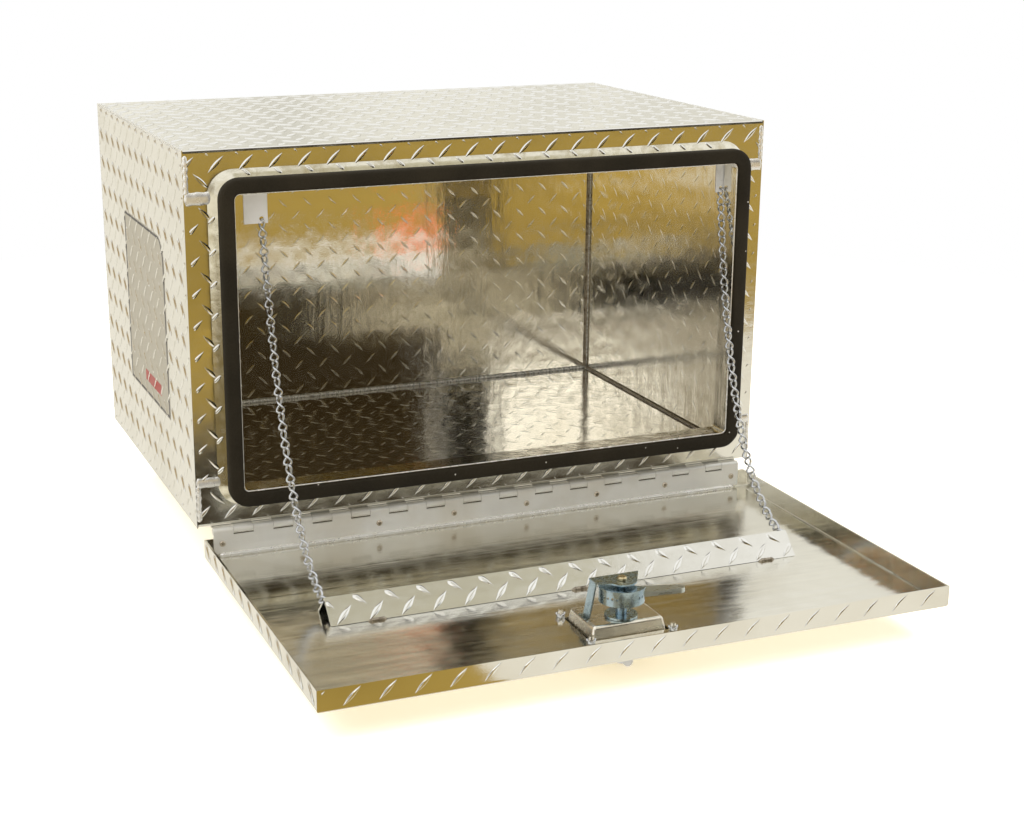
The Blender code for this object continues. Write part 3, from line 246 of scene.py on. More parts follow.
@dataclass(frozen=True)
class Finish:
    """A material that is built once and shared by every piece that wears it."""

    name: str
    colour: Colour

    def material(self) -> bpy.types.Material:
        """Build the material on the first call.

        Returns:
            The material.
        """
        made = bpy.data.materials.get(self.name)
        if made is None:
            made = bpy.data.materials.new(self.name)
            made.use_nodes = True
            made.diffuse_color = rgba(self.colour)
            self.paint(Graph(made.node_tree))
        return made

    def paint(self, graph: Graph) -> None:
        """Fill the material's empty tree."""
        raise NotImplementedError


@dataclass(frozen=True)
class MetalFinish(Finish):
    """A bare or plated metal with blotches, scratches and, on rolled plate, faint dents.

    The bump is a sum of heights: fine grain, scratches stretched along one axis, the hollows that
    a rotary brush leaves, which are the square of the distance to the nearest middle plus fine
    hair, and the tread's shadow, which is the product of cosines across each pair of axes plus
    noise. Blotches and scratches together also set how rough the metal is.
    """

    stain: Colour
    rough: Span = (0.10, 0.28)
    blotch: float = 9.0
    stretch: Point = (1.0, 1.0, 1.0)
    scratch_scale: float = 90.0
    scratch: float = 0.12
    grain: float = 0.05
    grain_scale: float = 900.0
    dents: float = 0.0
    stain_start: float = 0.45
    stain_end: float = 0.75
    wear: Span = (0.35, 0.65)
    metallic: float = 1.0
    swirl: float = 0.0
    swirl_scale: float = 46.0
    relief: float = 0.0004
    dent_noise: Span = (55.0, 2.2)
    hair_scale: float = 420.0
    hair: float = 0.25

    def paint(self, graph: Graph) -> None:
        """Fill the material's empty tree.

        Args:
            graph: the tree.
        """
        cloud = graph.noise(self.blotch, detail=6.0, warp=0.6)
        lines = graph.noise(self.scratch_scale, self.stretch, 3.0)
        fine = graph.noise(self.grain_scale, detail=2.0)
        patch = graph.range(cloud, 0.0, 1.0, self.stain_start, self.stain_end)
        colour = graph.blend(patch, rgba(self.colour), rgba(self.stain))
        wear = graph.add(graph.times(cloud, 0.5), graph.times(lines, 0.5))
        rough = graph.range(wear, *self.rough, *self.wear)
        height = graph.add(graph.times(lines, self.scratch), graph.times(fine, self.grain))
        if self.dents:
            height = graph.add(height, self.tread_shadow(graph))
        if self.swirl:
            height = graph.add(height, self.brush_rings(graph))
        bump = graph.node("Bump", Strength=1.0, Distance=self.relief, Height=height)
        shader = graph.node("BsdfPrincipled", Base_Color=colour, Metallic=self.metallic,
                            Roughness=rough, Normal=bump.outputs[0])
        graph.node("OutputMaterial", Surface=shader.outputs[0])

    def tread_shadow(self, graph: Graph) -> bpy.types.NodeSocket:
        """Work out the dents that the tread leaves on a sheet's plain side.

        Args:
            graph: the material's tree.
        Returns:
            Their height.
        """
        parts = graph.node("SeparateXYZ", i0=graph.place()).outputs
        turn = 2 * math.pi / TREAD_PITCH
        waves = [graph.maths("COSINE", graph.times(part, turn)) for part in parts]
        pairs = [graph.times(waves[a], waves[b]) for a, b in ((0, 1), (1, 2), (0, 2))]
        scale, share = self.dent_noise
        warp = graph.times(graph.noise(scale, detail=3.0), share)
        return graph.times(graph.add(*pairs, warp), self.dents)

    def brush_rings(self, graph: Graph) -> bpy.types.NodeSocket:
        """Work out the shallow hollows that a rotary brush leaves side by side.

        Args:
            graph: the material's tree.
        Returns:
            Their height.
        """
        cells = graph.node("TexVoronoi", Vector=graph.place(), Scale=self.swirl_scale,
                           feature="SMOOTH_F1", Smoothness=0.35, Randomness=0.6)
        dome = graph.maths("POWER", cells.outputs["Distance"], 2.0)
        hair = graph.noise(self.hair_scale, (1.0, 1.0, 0.25), 2.0, 1.5)
        return graph.times(graph.add(graph.times(hair, self.hair), dome), self.swirl)


@dataclass(frozen=True)
class RubberFinish(Finish):
    """Foam rubber with a fine skin, a paler worn crown and specks of swarf and dust.

    A speck lies at the middle of a cell of a cell pattern. Only the few cells with a high random
    number have one, and fewer still towards the upper left.
    """

    name: str = "seal_rubber"
    colour: Colour = (0.012, 0.009, 0.004)
    worn: Colour = (0.038, 0.029, 0.015)
    cloud_scale: float = 16.0
    worn_share: float = 0.55
    skin_scale: float = 700.0
    skin_depth: float = 0.0003
    rough: Span = (0.6, 0.8)
    speck: Colour = (0.75, 0.70, 0.62)
    speck_scale: float = 210.0
    speck_size: float = 0.17
    speck_rarity: Span = (0.93, 0.95)
    fall: float = 1.2
    dusty: Span = (0.15, 0.75)

    def paint(self, graph: Graph) -> None:
        """Fill the material's empty tree.

        Args:
            graph: the tree.
        """
        cloud = graph.noise(self.cloud_scale, detail=5.0)
        fine = graph.noise(self.skin_scale, detail=3.0)
        base = graph.blend(graph.range(cloud, 0.0, self.worn_share), rgba(self.colour),
                           rgba(self.worn))
        cells = graph.node("TexVoronoi", Vector=graph.place(), Scale=self.speck_scale)
        chances = graph.node("SeparateColor", i0=cells.outputs["Color"]).outputs
        near = graph.under(cells.outputs["Distance"], self.speck_size)
        rare = graph.over(chances[0], self.speck_rarity[0])
        parts = graph.node("SeparateXYZ", i0=graph.place()).outputs
        drift = graph.maths("SUBTRACT", parts[0], graph.times(parts[2], self.fall))
        dusty = graph.range(drift, 0.0, 1.0, *self.dusty)
        often = graph.over(graph.add(dusty, chances[1]), self.speck_rarity[1])
        colour = graph.blend(graph.times(graph.times(near, rare), often), base, rgba(self.speck))
        bump = graph.node("Bump", Strength=0.6, Distance=self.skin_depth, Height=fine)
        shader = graph.node("BsdfPrincipled", Base_Color=colour, Specular_IOR_Level=0.3,
                            Roughness=graph.range(fine, *self.rough), Normal=bump.outputs[0])
        graph.node("OutputMaterial", Surface=shader.outputs[0])


@dataclass(frozen=True)
class StickerFinish(Finish):
    """The blank grey sticker of the left side, with a dark border and one red block.

    All its places are shares of its width and height, and the border's are from its middle.
    """

    name: str = "sticker"
    colour: Colour = (0.46, 0.42, 0.32)
    worn: Colour = (0.60, 0.56, 0.45)
    border: Colour = (0.035, 0.030, 0.026)
    block: Colour = (0.45, 0.035, 0.02)
    border_across: Span = (0.470, 0.492)
    border_along: Span = (0.480, 0.494)
    block_middle: Span = (0.60, 0.115)
    block_half: Span = (0.20, 0.032)
    cloud_scale: float = 30.0
    worn_share: float = 0.5
    rough: Span = (0.32, 0.5)

    def paint(self, graph: Graph) -> None:
        """Fill the material's empty tree, on the sticker's own UV map.

        Args:
            graph: the tree.
        """
        part = graph.node("SeparateXYZ", i0=graph.node("UVMap").outputs[0]).outputs
        across, along = graph.near(part[0], 0.5), graph.near(part[1], 0.5)
        rim, inner = (graph.either(graph.over(across, wide), graph.over(along, tall))
                      for wide, tall in zip(self.border_across, self.border_along))
        line = graph.maths("SUBTRACT", rim, inner)
        inside = [graph.under(graph.near(part[k], self.block_middle[k]), self.block_half[k])
                  for k in (0, 1)]
        cloud = graph.noise(self.cloud_scale, detail=5.0)
        base = graph.blend(graph.range(cloud, 0.0, self.worn_share), rgba(self.colour),
                           rgba(self.worn))
        colour = graph.blend(graph.times(*inside), base, rgba(self.block))
        colour = graph.blend(line, colour, rgba(self.border))
        shader = graph.node("BsdfPrincipled", Base_Color=colour,
                            Roughness=graph.range(cloud, *self.rough))
        graph.node("OutputMaterial", Surface=shader.outputs[0])


@dataclass(frozen=True)
class FloorFinish(Finish):
    """A plain pale floor that stays white far off and keeps a warm shadow near the box.

    Near the box the camera sees two white diffuse layers and a faint warm glow added up, so that
    light floor is white and shade is warm. Metal mirrors it as plain paper, and as a lamp's
    bounce it is an even pale grey.
    """

    name: str = "studio_floor"
    colour: Colour = (0.93, 0.92, 0.90)
    layer: Colour = (0.72, 0.72, 0.74)
    shade: Colour = (0.34, 0.26, 0.10)
    paper: Colour = (0.92, 0.88, 0.78)
    fade: Span = (0.75, 1.6)

    def paint(self, graph: Graph) -> None:
        """Fill the material's empty tree.

        Args:
            graph: the tree.
        """
        path = graph.node("LightPath").outputs
        seen = graph.seen(path)
        away = graph.node("VectorMath", operation="LENGTH", i0=graph.place()).outputs["Value"]
        far = graph.range(away, 0.0, 1.0, *self.fade)
        plain = graph.node("BsdfDiffuse", Color=rgba(self.colour)).outputs[0]
        lit = graph.node("BsdfDiffuse", Color=rgba(self.layer)).outputs[0]
        lit = graph.node("AddShader", i0=lit, i1=lit).outputs[0]
        near = graph.node("AddShader", i0=lit, i1=graph.glow(self.shade)).outputs[0]
        shown = graph.mix(far, near, graph.glow(WHITE))
        shown = graph.mix(path["Is Glossy Ray"], shown, graph.glow(self.paper))
        graph.node("OutputMaterial", Surface=graph.mix(seen, plain, shown))


@dataclass(frozen=True)
class CardFinish(Finish):
    """A card of one colour, with soft changes of tone, for the metal to mirror."""

    strength: float = 1.0
    unevenness: float = 0.2
    cloud_scale: float = 1.3

    def paint(self, graph: Graph) -> None:
        """Fill the material's empty tree.

        Args:
            graph: the tree.
        """
        cloud = graph.noise(self.cloud_scale, warp=0.8)
        tone = graph.range(cloud, 1.0 - self.unevenness, 1.0 + self.unevenness)
        glow = graph.glow(self.colour, graph.times(tone, self.strength))
        graph.node("OutputMaterial", Surface=glow)


TREAD_PITCH = 0.0305
OUTSIDE = MetalFinish("tread_plate", (0.83, 0.815, 0.745), (0.77, 0.75, 0.67),
                      rough=(0.10, 0.22), dents=0.10, scratch=0.18, scratch_scale=60.0,
                      stretch=(1.0, 1.0, 3.0), grain=0.06)
INSIDE = MetalFinish("plain_side", (0.90, 0.88, 0.82), (0.82, 0.79, 0.71), rough=(0.035, 0.085),
                     dents=0.05, scratch=0.34, scratch_scale=95.0, stretch=(1.5, 1.5, 0.3),
                     grain=0.10, swirl=0.22)
TRAY = MetalFinish("door_sheet", (0.86, 0.845, 0.78), (0.78, 0.75, 0.66), rough=(0.07, 0.22),
                   dents=0.06, scratch=0.35, scratch_scale=70.0, stretch=(0.12, 2.0, 1.0),
                   grain=0.10)
LUG = MetalFinish("tread_lug", (0.88, 0.87, 0.82), (0.82, 0.80, 0.73), rough=(0.09, 0.22),
                  blotch=60.0, scratch=0.1)
WELD = MetalFinish("weld_bead", (0.90, 0.89, 0.85), (0.66, 0.61, 0.50), rough=(0.16, 0.42),
                   blotch=180.0, scratch=0.8, scratch_scale=400.0, stain_start=0.55,
                   metallic=0.55)
BURNT_WELD = MetalFinish("burnt_weld", (0.46, 0.40, 0.31), (0.13, 0.10, 0.07),
                         rough=(0.25, 0.5), blotch=220.0, scratch=0.8, scratch_scale=400.0)
SATIN = MetalFinish("satin_aluminium", (0.95, 0.95, 0.94), (0.86, 0.86, 0.84),
                    rough=(0.40, 0.52), blotch=40.0, scratch=0.3, scratch_scale=260.0,
                    stretch=(0.1, 1.0, 1.0), metallic=0.2)
LEAF = MetalFinish("hinge_leaf_steel", (0.97, 0.96, 0.90), (0.80, 0.76, 0.66),
                   rough=(0.30, 0.48), metallic=0.4, blotch=16.0, stain_start=0.45, scratch=0.6,
                   scratch_scale=160.0, stretch=(0.08, 1.0, 1.2), grain=0.15)
RIVET = MetalFinish("rivet_head", (0.62, 0.55, 0.44), (0.42, 0.33, 0.22), rough=(0.2, 0.4),
                    blotch=260.0)
PAN = MetalFinish("latch_pan_steel", (0.95, 0.91, 0.80), (0.82, 0.75, 0.62),
                  rough=(0.17, 0.30), blotch=45.0, scratch=0.4, scratch_scale=240.0,
                  stretch=(0.15, 1.0, 1.0), stain_start=0.4)
ARM_ZINC = MetalFinish("arm_zinc", (0.70, 0.74, 0.71), (0.56, 0.61, 0.58), rough=(0.22, 0.36),
                       blotch=60.0, scratch=0.3, scratch_scale=240.0, stretch=(0.2, 1.0, 1.0))
BLUE_ZINC = MetalFinish("blue_zinc", (0.46, 0.57, 0.62), (0.30, 0.40, 0.47), rough=(0.16, 0.34),
                        blotch=70.0, scratch=0.4, scratch_scale=240.0, stain_start=0.4)
SEAM = MetalFinish("bright_seam", (0.95, 0.94, 0.90), (0.84, 0.81, 0.72), rough=(0.20, 0.34),
                   blotch=70.0, scratch=0.02, scratch_scale=120.0, metallic=0.6)
# Painted reflection: the lip root's base colour is tinted olive-gold to stand in for the gold
# surroundings, which its upward-facing slope cannot mirror.
ROOT_GOLD_REFLECTION = MetalFinish("lip_root", (0.84, 0.80, 0.66), (0.60, 0.53, 0.36), rough=(0.12, 0.28),
                   blotch=70.0, scratch=0.4, scratch_scale=120.0)
# Painted shade: a dark finish for the sheet behind the hinge's knuckle gaps, standing in for
# their shadow.
HINGE_GAP_SHADE = MetalFinish("painted_gap_shade", (0.10, 0.085, 0.05), (0.06, 0.05, 0.03), rough=(0.5, 0.7),
                  blotch=90.0, metallic=0.2)
CHAIN_ZINC = MetalFinish("chain_zinc", (0.97, 0.96, 0.91), (0.86, 0.85, 0.78),
                         rough=(0.12, 0.24), blotch=120.0, scratch=0.2, scratch_scale=300.0)
BRASS = MetalFinish("brass_screw_head", (0.72, 0.60, 0.36), (0.52, 0.40, 0.20),
                    rough=(0.2, 0.36), blotch=260.0)
HANDLE = MetalFinish("handle_chrome", (0.70, 0.70, 0.71), (0.56, 0.55, 0.53),
                     rough=(0.12, 0.28), blotch=80.0)
RUBBER = RubberFinish()
STICKER = StickerFinish()
FLOOR = FloorFinish()
GOLD_CARD = CardFinish("card_gold", (0.45, 0.31, 0.075), unevenness=0.35)
DARK_CARD = CardFinish("card_dark", (0.034, 0.023, 0.010))
ORANGE_CARD = CardFinish("card_orange", (1.0, 0.085, 0.005), 2.0)
TAN_CARD = CardFinish("card_tan", (0.46, 0.35, 0.20))
DIM_CARD = CardFinish("card_dim", (0.50, 0.47, 0.39))
BROWN_CARD = CardFinish("card_brown", (0.20, 0.16, 0.09))
WINDOW_CARD = CardFinish("card_window", (1, 0.98, 0.93), 1.6)
GREY_CARD = CardFinish("card_grey", (0.42, 0.38, 0.31))
CREAM_CARD = CardFinish("card_cream", (0.84, 0.82, 0.74))
PALE_CARD = CardFinish("card_pale", (0.58, 0.55, 0.44))
LEFT_CARD = CardFinish("card_left", (0.20, 0.155, 0.07))


# Meshes

def grid_faces(rows: int, columns: int, close_rows: bool = False,
               close_columns: bool = False) -> np.ndarray:
    """Return the quads of a grid of points in row order.

    Args:
        rows: points along the first parameter.
        columns: points along the second parameter.
        close_rows: join the last row to the first.
        close_columns: join the last column to the first.
    Returns:
        Faces as rows of four point numbers.
    """
    first = np.arange(rows if close_rows else rows - 1)[:, None]
    second = np.arange(columns if close_columns else columns - 1)[None, :]
    nxt, side = (first + 1) % rows, (second + 1) % columns
    quads = [first * columns + second, nxt * columns + second,
             nxt * columns + side, first * columns + side]
    return np.stack(np.broadcast_arrays(*quads), axis=-1).reshape(-1, 4)


def capped_faces(rows: int, columns: int) -> list[list[int]]:
    """Return the faces of a closed pipe of rings with a flat cap at each end.

    Args:
        rows: how many rings it has.
        columns: points round a ring.
    Returns:
        Its faces by point number.
    """
    faces = [list(quad) for quad in grid_faces(rows, columns, close_columns=True)]
    last = (rows - 1) * columns
    return faces + [list(range(columns)), list(range(last, last + columns))[::-1]]


def repeat_faces(faces: np.ndarray, step: int, count: int) -> np.ndarray:
    """Number the faces of copies of a shape whose points follow each other.

    Args:
        faces: the faces of the first copy.
        step: how many points a copy has.
        count: how many copies there are.
    Returns:
        The faces of all of them.
    """
    return (faces[None] + (np.arange(count) * step)[:, None, None]).reshape(-1, faces.shape[1])


def gather(items: bpy.types.bpy_prop_collection, key: str, width: int = 3) -> np.ndarray:
    """Read one property of all points or faces of a mesh.

    Args:
        items: the mesh's points or faces.
        key: the property.
        width: how many numbers it has.
    Returns:
        A row for each item.
    """
    values = np.empty(len(items) * width, dtype=np.float32)
    items.foreach_get(key, values)
    return values.reshape(-1, width)


def add_piece(name: str, mesh: bpy.types.Mesh, body: str) -> bpy.types.Object:
    """Put a mesh into the scene as a piece of a body.

    Args:
        name: the piece's name.
        mesh: its mesh.
        body: the body that it rides on.
    Returns:
        The piece.
    """
    made = bpy.data.objects.new(name, mesh)
    bpy.context.scene.collection.objects.link(made)
    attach(made, body)
    return made


def build(name: str, points: np.ndarray, faces: Iterable, finish: Finish, body: str,
          recalculate: bool = False) -> bpy.types.Object:
    """Build a piece from its points.

    Args:
        name: the piece's name.
        points: its points in the box's frame.
        faces: its faces by point number.
        finish: its finish.
        body: the body that it rides on.
        recalculate: turn the faces outwards afterwards.
    Returns:
        The piece.
    """
    mesh = bpy.data.meshes.new(name)
    mesh.from_pydata((np.asarray(points).reshape(-1, 3) + ORIGIN).tolist(), [],
                     [list(map(int, face)) for face in faces])
    mesh.materials.append(finish.material())
    mesh.shade_smooth()
    if recalculate:
        work = bmesh.new()
        work.from_mesh(mesh)
        bmesh.ops.remove_doubles(work, verts=work.verts, dist=1e-6)
        bmesh.ops.recalc_face_normals(work, faces=work.faces)
        work.to_mesh(mesh)
        work.free()
    return add_piece(name, mesh, body)


def redress(node: str, finish: Finish, body: str, shift: Optional[PointRule] = None,
            sharp: float = 32.0, inner: Optional[Finish] = None,
            within: Optional[PointRule] = None) -> bpy.types.Object:
    """Replace a CAD node by a joined copy of its mesh with smooth rounds.

    Small slanted faces are smooth, and those along an axis and the large ones stay flat.

    Args:
        node: the CAD node's name.
        finish: the copy's finish.
        body: the body that it rides on.
        shift: moves the copy's points, given and returned in the box's frame.
        sharp: the angle in degrees past which an edge stays sharp.
        inner: a second finish for some faces.
        within: tells from the faces' middles, in the box's frame, which ones take it.
    Returns:
        The copy.
    """
    work = bmesh.new()
    work.from_mesh(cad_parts[node].data)
    bmesh.ops.remove_doubles(work, verts=work.verts, dist=2e-6)
    mesh = bpy.data.meshes.new(node + "_finished")
    work.to_mesh(mesh)
    work.free()
    points = gather(mesh.vertices, "co").astype(float) - ORIGIN
    if shift is not None:
        points = shift(points)
    mesh.vertices.foreach_set("co", (points + ORIGIN).astype(np.float32).ravel())
    mesh.materials.clear()
    mesh.materials.append(finish.material())
    if inner is not None and within is not None:
        mesh.materials.append(inner.material())
        chosen = within(gather(mesh.polygons, "center").astype(float) - ORIGIN)
        mesh.polygons.foreach_set("material_index", chosen.astype(np.int32))
    kept_normals = mesh.attributes.get("custom_normal")
    if kept_normals is not None:
        mesh.attributes.remove(kept_normals)
    mesh.update()
    level = np.abs(gather(mesh.polygons, "normal")).max(axis=1) > LEVEL
    large = gather(mesh.polygons, "area", 1)[:, 0] > LARGE
    mesh.set_sharp_from_angle(angle=math.radians(sharp))
    mesh.polygons.foreach_set("use_smooth", ~(level | large))
    made = add_piece(node + "_finished", mesh, body)
    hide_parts(node)
    return made


def repaint(node: str, finish: Finish) -> None:
    """Give a CAD node a finish and leave its shape alone.

    Args:
        node: the node's name.
        finish: its finish.
    """
    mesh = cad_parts[node].data
    mesh.materials.clear()
    mesh.materials.append(finish.material())


def closed_tube(path: np.ndarray, across: np.ndarray, radius: float,
                sides: int) -> tuple[np.ndarray, np.ndarray]:
    """Carry a circle along a closed path.

    The ring at a point is radius * (cos a * n + sin a * b), where n is the across direction made
    square to the path and b is the cross product of the path's direction and n.

    Args:
        path: points of the path, last axis xyz, with any leading axes of separate paths.
        across: a direction at each point that is never along the path.
        radius: the circle's radius.
        sides: points round the circle.
    Returns:
        The points and the faces of one path.
    """
    ahead = np.roll(path, -1, axis=-2) - np.roll(path, 1, axis=-2)
    ahead /= np.linalg.norm(ahead, axis=-1, keepdims=True)
    side = across - (across * ahead).sum(-1, keepdims=True) * ahead
    side /= np.linalg.norm(side, axis=-1, keepdims=True)
    other = np.cross(ahead, side)
    turn = np.linspace(0, 2 * np.pi, sides, endpoint=False)[:, None]
    ring = np.cos(turn) * side[..., None, :] + np.sin(turn) * other[..., None, :]
    faces = grid_faces(path.shape[-2], sides, close_rows=True, close_columns=True)
    return path[..., None, :] + radius * ring, faces


# Tread of the plate

@dataclass
class TreadPanel:
    """A flat face of tread plate that carries the raised lugs.

    A point of the panel is corner + a * along + b * up, and the lugs rise along facing. Width and
    height are its sizes along a and b, and start is where the first lug lies. Bare is a patch
    without lugs, given by its left, low, right and top. Mirror swaps the two leanings.
    """

    corner: Point
    along: Point
    up: Point
    facing: Point
    width: float
    height: float
    lay: Lay = Lay.BOTH
    start: Span = (0.006, 0.006)
    bare: Optional[tuple[float, float, float, float]] = None
    mirror: bool = False
    pitch: Span = (TREAD_PITCH, TREAD_PITCH)


@dataclass
class Tread:
    """The rolled lugs: lens-shaped humps that lean one way and the other in turn.

    Along a lug u runs from -1 to 1 and across it v does. Its half width is w(1 - u * u)^1.3, and
    its height is h times the root of (1 - u^4) times (1 - v * v)^0.6. Its rim is sunk. A lug
    that the panel's edge cuts shorter than an eighth of its length is left out.
    """

    half_length: float = 0.0112
    half_width: float = 0.0022
    rise: float = SKIN
    sink: float = 0.00015
    taper: float = 1.3
    crown: float = 0.6
    shortest: float = 0.25
    thinnest: float = 0.00004
    lowest: float = 0.02
    along_points: int = 9
    across_points: int = 5

    def centres(self, panel: TreadPanel) -> tuple[np.ndarray, np.ndarray]:
        """Place the lugs of a panel.

        Args:
            panel: the face.
        Returns:
            Their middles in a and b, and their leanings, 1 or -1.
        """
        middles, leans = [], []
        for kind in panel.lay.value:
            pitch_a, pitch_b = panel.pitch
            a = np.arange(-1, panel.width / pitch_a + 2) * pitch_a + kind * pitch_a / 2
            b = np.arange(-1, panel.height / pitch_b + 2) * pitch_b + kind * pitch_b / 2
            a, b = a + panel.start[0], b + panel.start[1]
            both = np.stack(np.meshgrid(a, b, indexing="ij"), -1).reshape(-1, 2)
            middles.append(both)
            leans.append(np.full(len(both), 1.0 if (kind == 0) != panel.mirror else -1.0))
        middle, lean = np.concatenate(middles), np.concatenate(leans)
        if panel.bare is not None:
            left, low, right, top = panel.bare
            inside = ((middle[:, 0] > left) & (middle[:, 0] < right)
                      & (middle[:, 1] > low) & (middle[:, 1] < top))
            middle, lean = middle[~inside], lean[~inside]
        return middle, lean

    def reach(self, panel: TreadPanel, middle: np.ndarray,
              lean: np.ndarray) -> tuple[np.ndarray, np.ndarray]:
        """Cut the lugs at the panel's edges.

        Args:
            panel: the face.
            middle: the lugs' middles.
            lean: their leanings.
        Returns:
            The values of u where each lug starts and ends.
        """
        size = np.array([panel.width, panel.height])
        way = np.stack([np.ones_like(lean), lean], -1) * self.half_length * DIAGONAL
        ends = np.stack([(0 - middle) / way, (size - middle) / way], 0)
        low = np.clip(ends.min(0).max(-1), -1, 1)
        high = np.clip(ends.max(0).min(-1), -1, 1)
        return low, high

    def hump(self, u: np.ndarray, v: np.ndarray) -> np.ndarray:
        """Return the share of its full height that a lug has at u and v."""
        return np.sqrt(np.clip(1 - u ** 4, 0, 1)) * (1 - v * v) ** self.crown

    def surface(self, panel: TreadPanel) -> np.ndarray:
        """Shape the lugs of a panel.

        Args:
            panel: the face.
        Returns:
            The points of every lug in the box's frame, along it and across it.
        """
        middle, lean = self.centres(panel)
        low, high = self.reach(panel, middle, lean)
        keep = high - low > self.shortest
        middle, lean, low, high = middle[keep], lean[keep], low[keep], high[keep]
        part = np.linspace(0, 1, self.along_points)
        u = low[:, None] + (high - low)[:, None] * part
        v = np.linspace(-1, 1, self.across_points)
        half = self.half_width * np.clip(1 - u * u, 0, 1) ** self.taper
        across = v * np.maximum(half, self.thinnest)[..., None]
        u, lean = u[..., None], lean[:, None, None]
        lift = self.rise * self.hump(u, v)
        end = ((part == 0) | (part == 1))[:, None]
        lift = np.where((lift > self.lowest * self.rise) & ~end, lift, -self.sink)
        along = u * self.half_length
        a = middle[:, 0, None, None] + DIAGONAL * (along - across * lean)
        b = middle[:, 1, None, None] + DIAGONAL * (along * lean + across)
        a, b = np.clip(a, 0, panel.width), np.clip(b, 0, panel.height)
        return (np.array(panel.corner) + a[..., None] * np.array(panel.along)
                + b[..., None] * np.array(panel.up) + lift[..., None] * np.array(panel.facing))

    def height_at(self, panel: TreadPanel, a: np.ndarray, b: np.ndarray) -> np.ndarray:
        """Work out how high the tread stands at places of a panel.

        Args:
            panel: the face.
            a: the places' first coordinate.
            b: their second one.
        Returns:
            The heights above the face.
        """
        middle, lean = self.centres(panel)
        da = a[..., None] - middle[:, 0]
        db = b[..., None] - middle[:, 1]
        u = DIAGONAL * (da + db * lean) / self.half_length
        across = DIAGONAL * (db - da * lean)
        half = self.half_width * np.clip(1 - u * u, 1e-4, 1) ** self.taper
        v = np.clip(across / half, -1, 1)
        return self.rise * self.hump(u, v).max(-1)

    def lay_on(self, name: str, panels: Iterable[TreadPanel], body: str) -> bpy.types.Object:
        """Build one piece that holds the lugs of several panels.

        Args:
            name: the piece's name.
            panels: the faces.
            body: the body that it rides on.
        Returns:
            The piece.
        """
        points, faces, count = [], [], 0
        quads = grid_faces(self.along_points, self.across_points)
        size = self.along_points * self.across_points
        for panel in panels:
            lugs = self.surface(panel)
            turned = np.dot(np.cross(panel.along, panel.up), panel.facing) < 0
            turn = quads if turned else quads[:, ::-1]
            faces.append(repeat_faces(turn, size, len(lugs)) + count)
            points.append(lugs.reshape(-1, 3))
            count += points[-1].shape[0]
        return build(name, np.concatenate(points), np.concatenate(faces), LUG, body)


# Weld beads

@dataclass
class WeldBead:
    """A rippled bead, half sunk in a seam.

    At length s and turn a its radius is r(1 + calm(0.16 wave + 0.07 rough)). The wave is
    sin(2 pi s / ripple + cos a), and rough is the sum of two sines with fixed phases. Spread
    stretches the bead along each axis, and at its ends it narrows over the taper's length.
    """

    name: str
    ends: tuple[Point, Point]
    radius: float
    finish: MetalFinish = WELD
    body: str = "box"
    slot: Slot = Slot.BODY
    ripple: float = 0.0036
    spread: Point = (1.0, 1.0, 1.0)
    sides: int = 8
    calm: float = 1.0
    taper: float = 0.0040
    wave_share: float = 0.16
    rough_share: float = 0.07
    rough_waves: tuple[Point, Point] = ((611.0, 2.1, 0.0), (1433.0, 3.7, 1.0))
    longest_ripple: float = 0.0045
    ripple_rings: int = 3
    least_rings: int = 6

    def build(self) -> bpy.types.Object:
        """Build the bead.

        Returns:
            The piece.
        """
        start, end = np.array(self.ends[0]), np.array(self.ends[1])
        length = float(np.linalg.norm(end - start))
        ripple = min(self.ripple, self.longest_ripple)
        rings = max(self.least_rings, int(length / ripple * self.ripple_rings))
        s = np.linspace(0, 1, rings)
        path = start + s[:, None] * (end - start)
        near_end = np.minimum(s, 1 - s) * length
        taper = np.clip(np.sin(np.pi / 2 * np.clip(near_end / self.taper, 0, 1)), 0.05, 1)
        turn = np.linspace(0, 2 * np.pi, self.sides, endpoint=False)
        gone = s[:, None] * length
        wave = np.sin(2 * np.pi * gone / self.ripple + np.cos(turn))
        rough = sum(np.sin(gone * pace + twist * turn + phase)
                    for pace, twist, phase in self.rough_waves)
        uneven = self.calm * (self.wave_share * wave + self.rough_share * rough)
        radius = self.radius * taper[:, None] * (1 + uneven)
        ahead = (end - start) / length
        side = np.cross(ahead, SKEW)
        side /= np.linalg.norm(side)
        other = np.cross(ahead, side)
        ring = np.cos(turn)[:, None] * side + np.sin(turn)[:, None] * other
        points = path[:, None] + radius[..., None] * ring * np.array(self.spread)
        return build(self.name, points, capped_faces(rings, self.sides), self.finish, self.body,
                     recalculate=True)


# Sub-assemblies

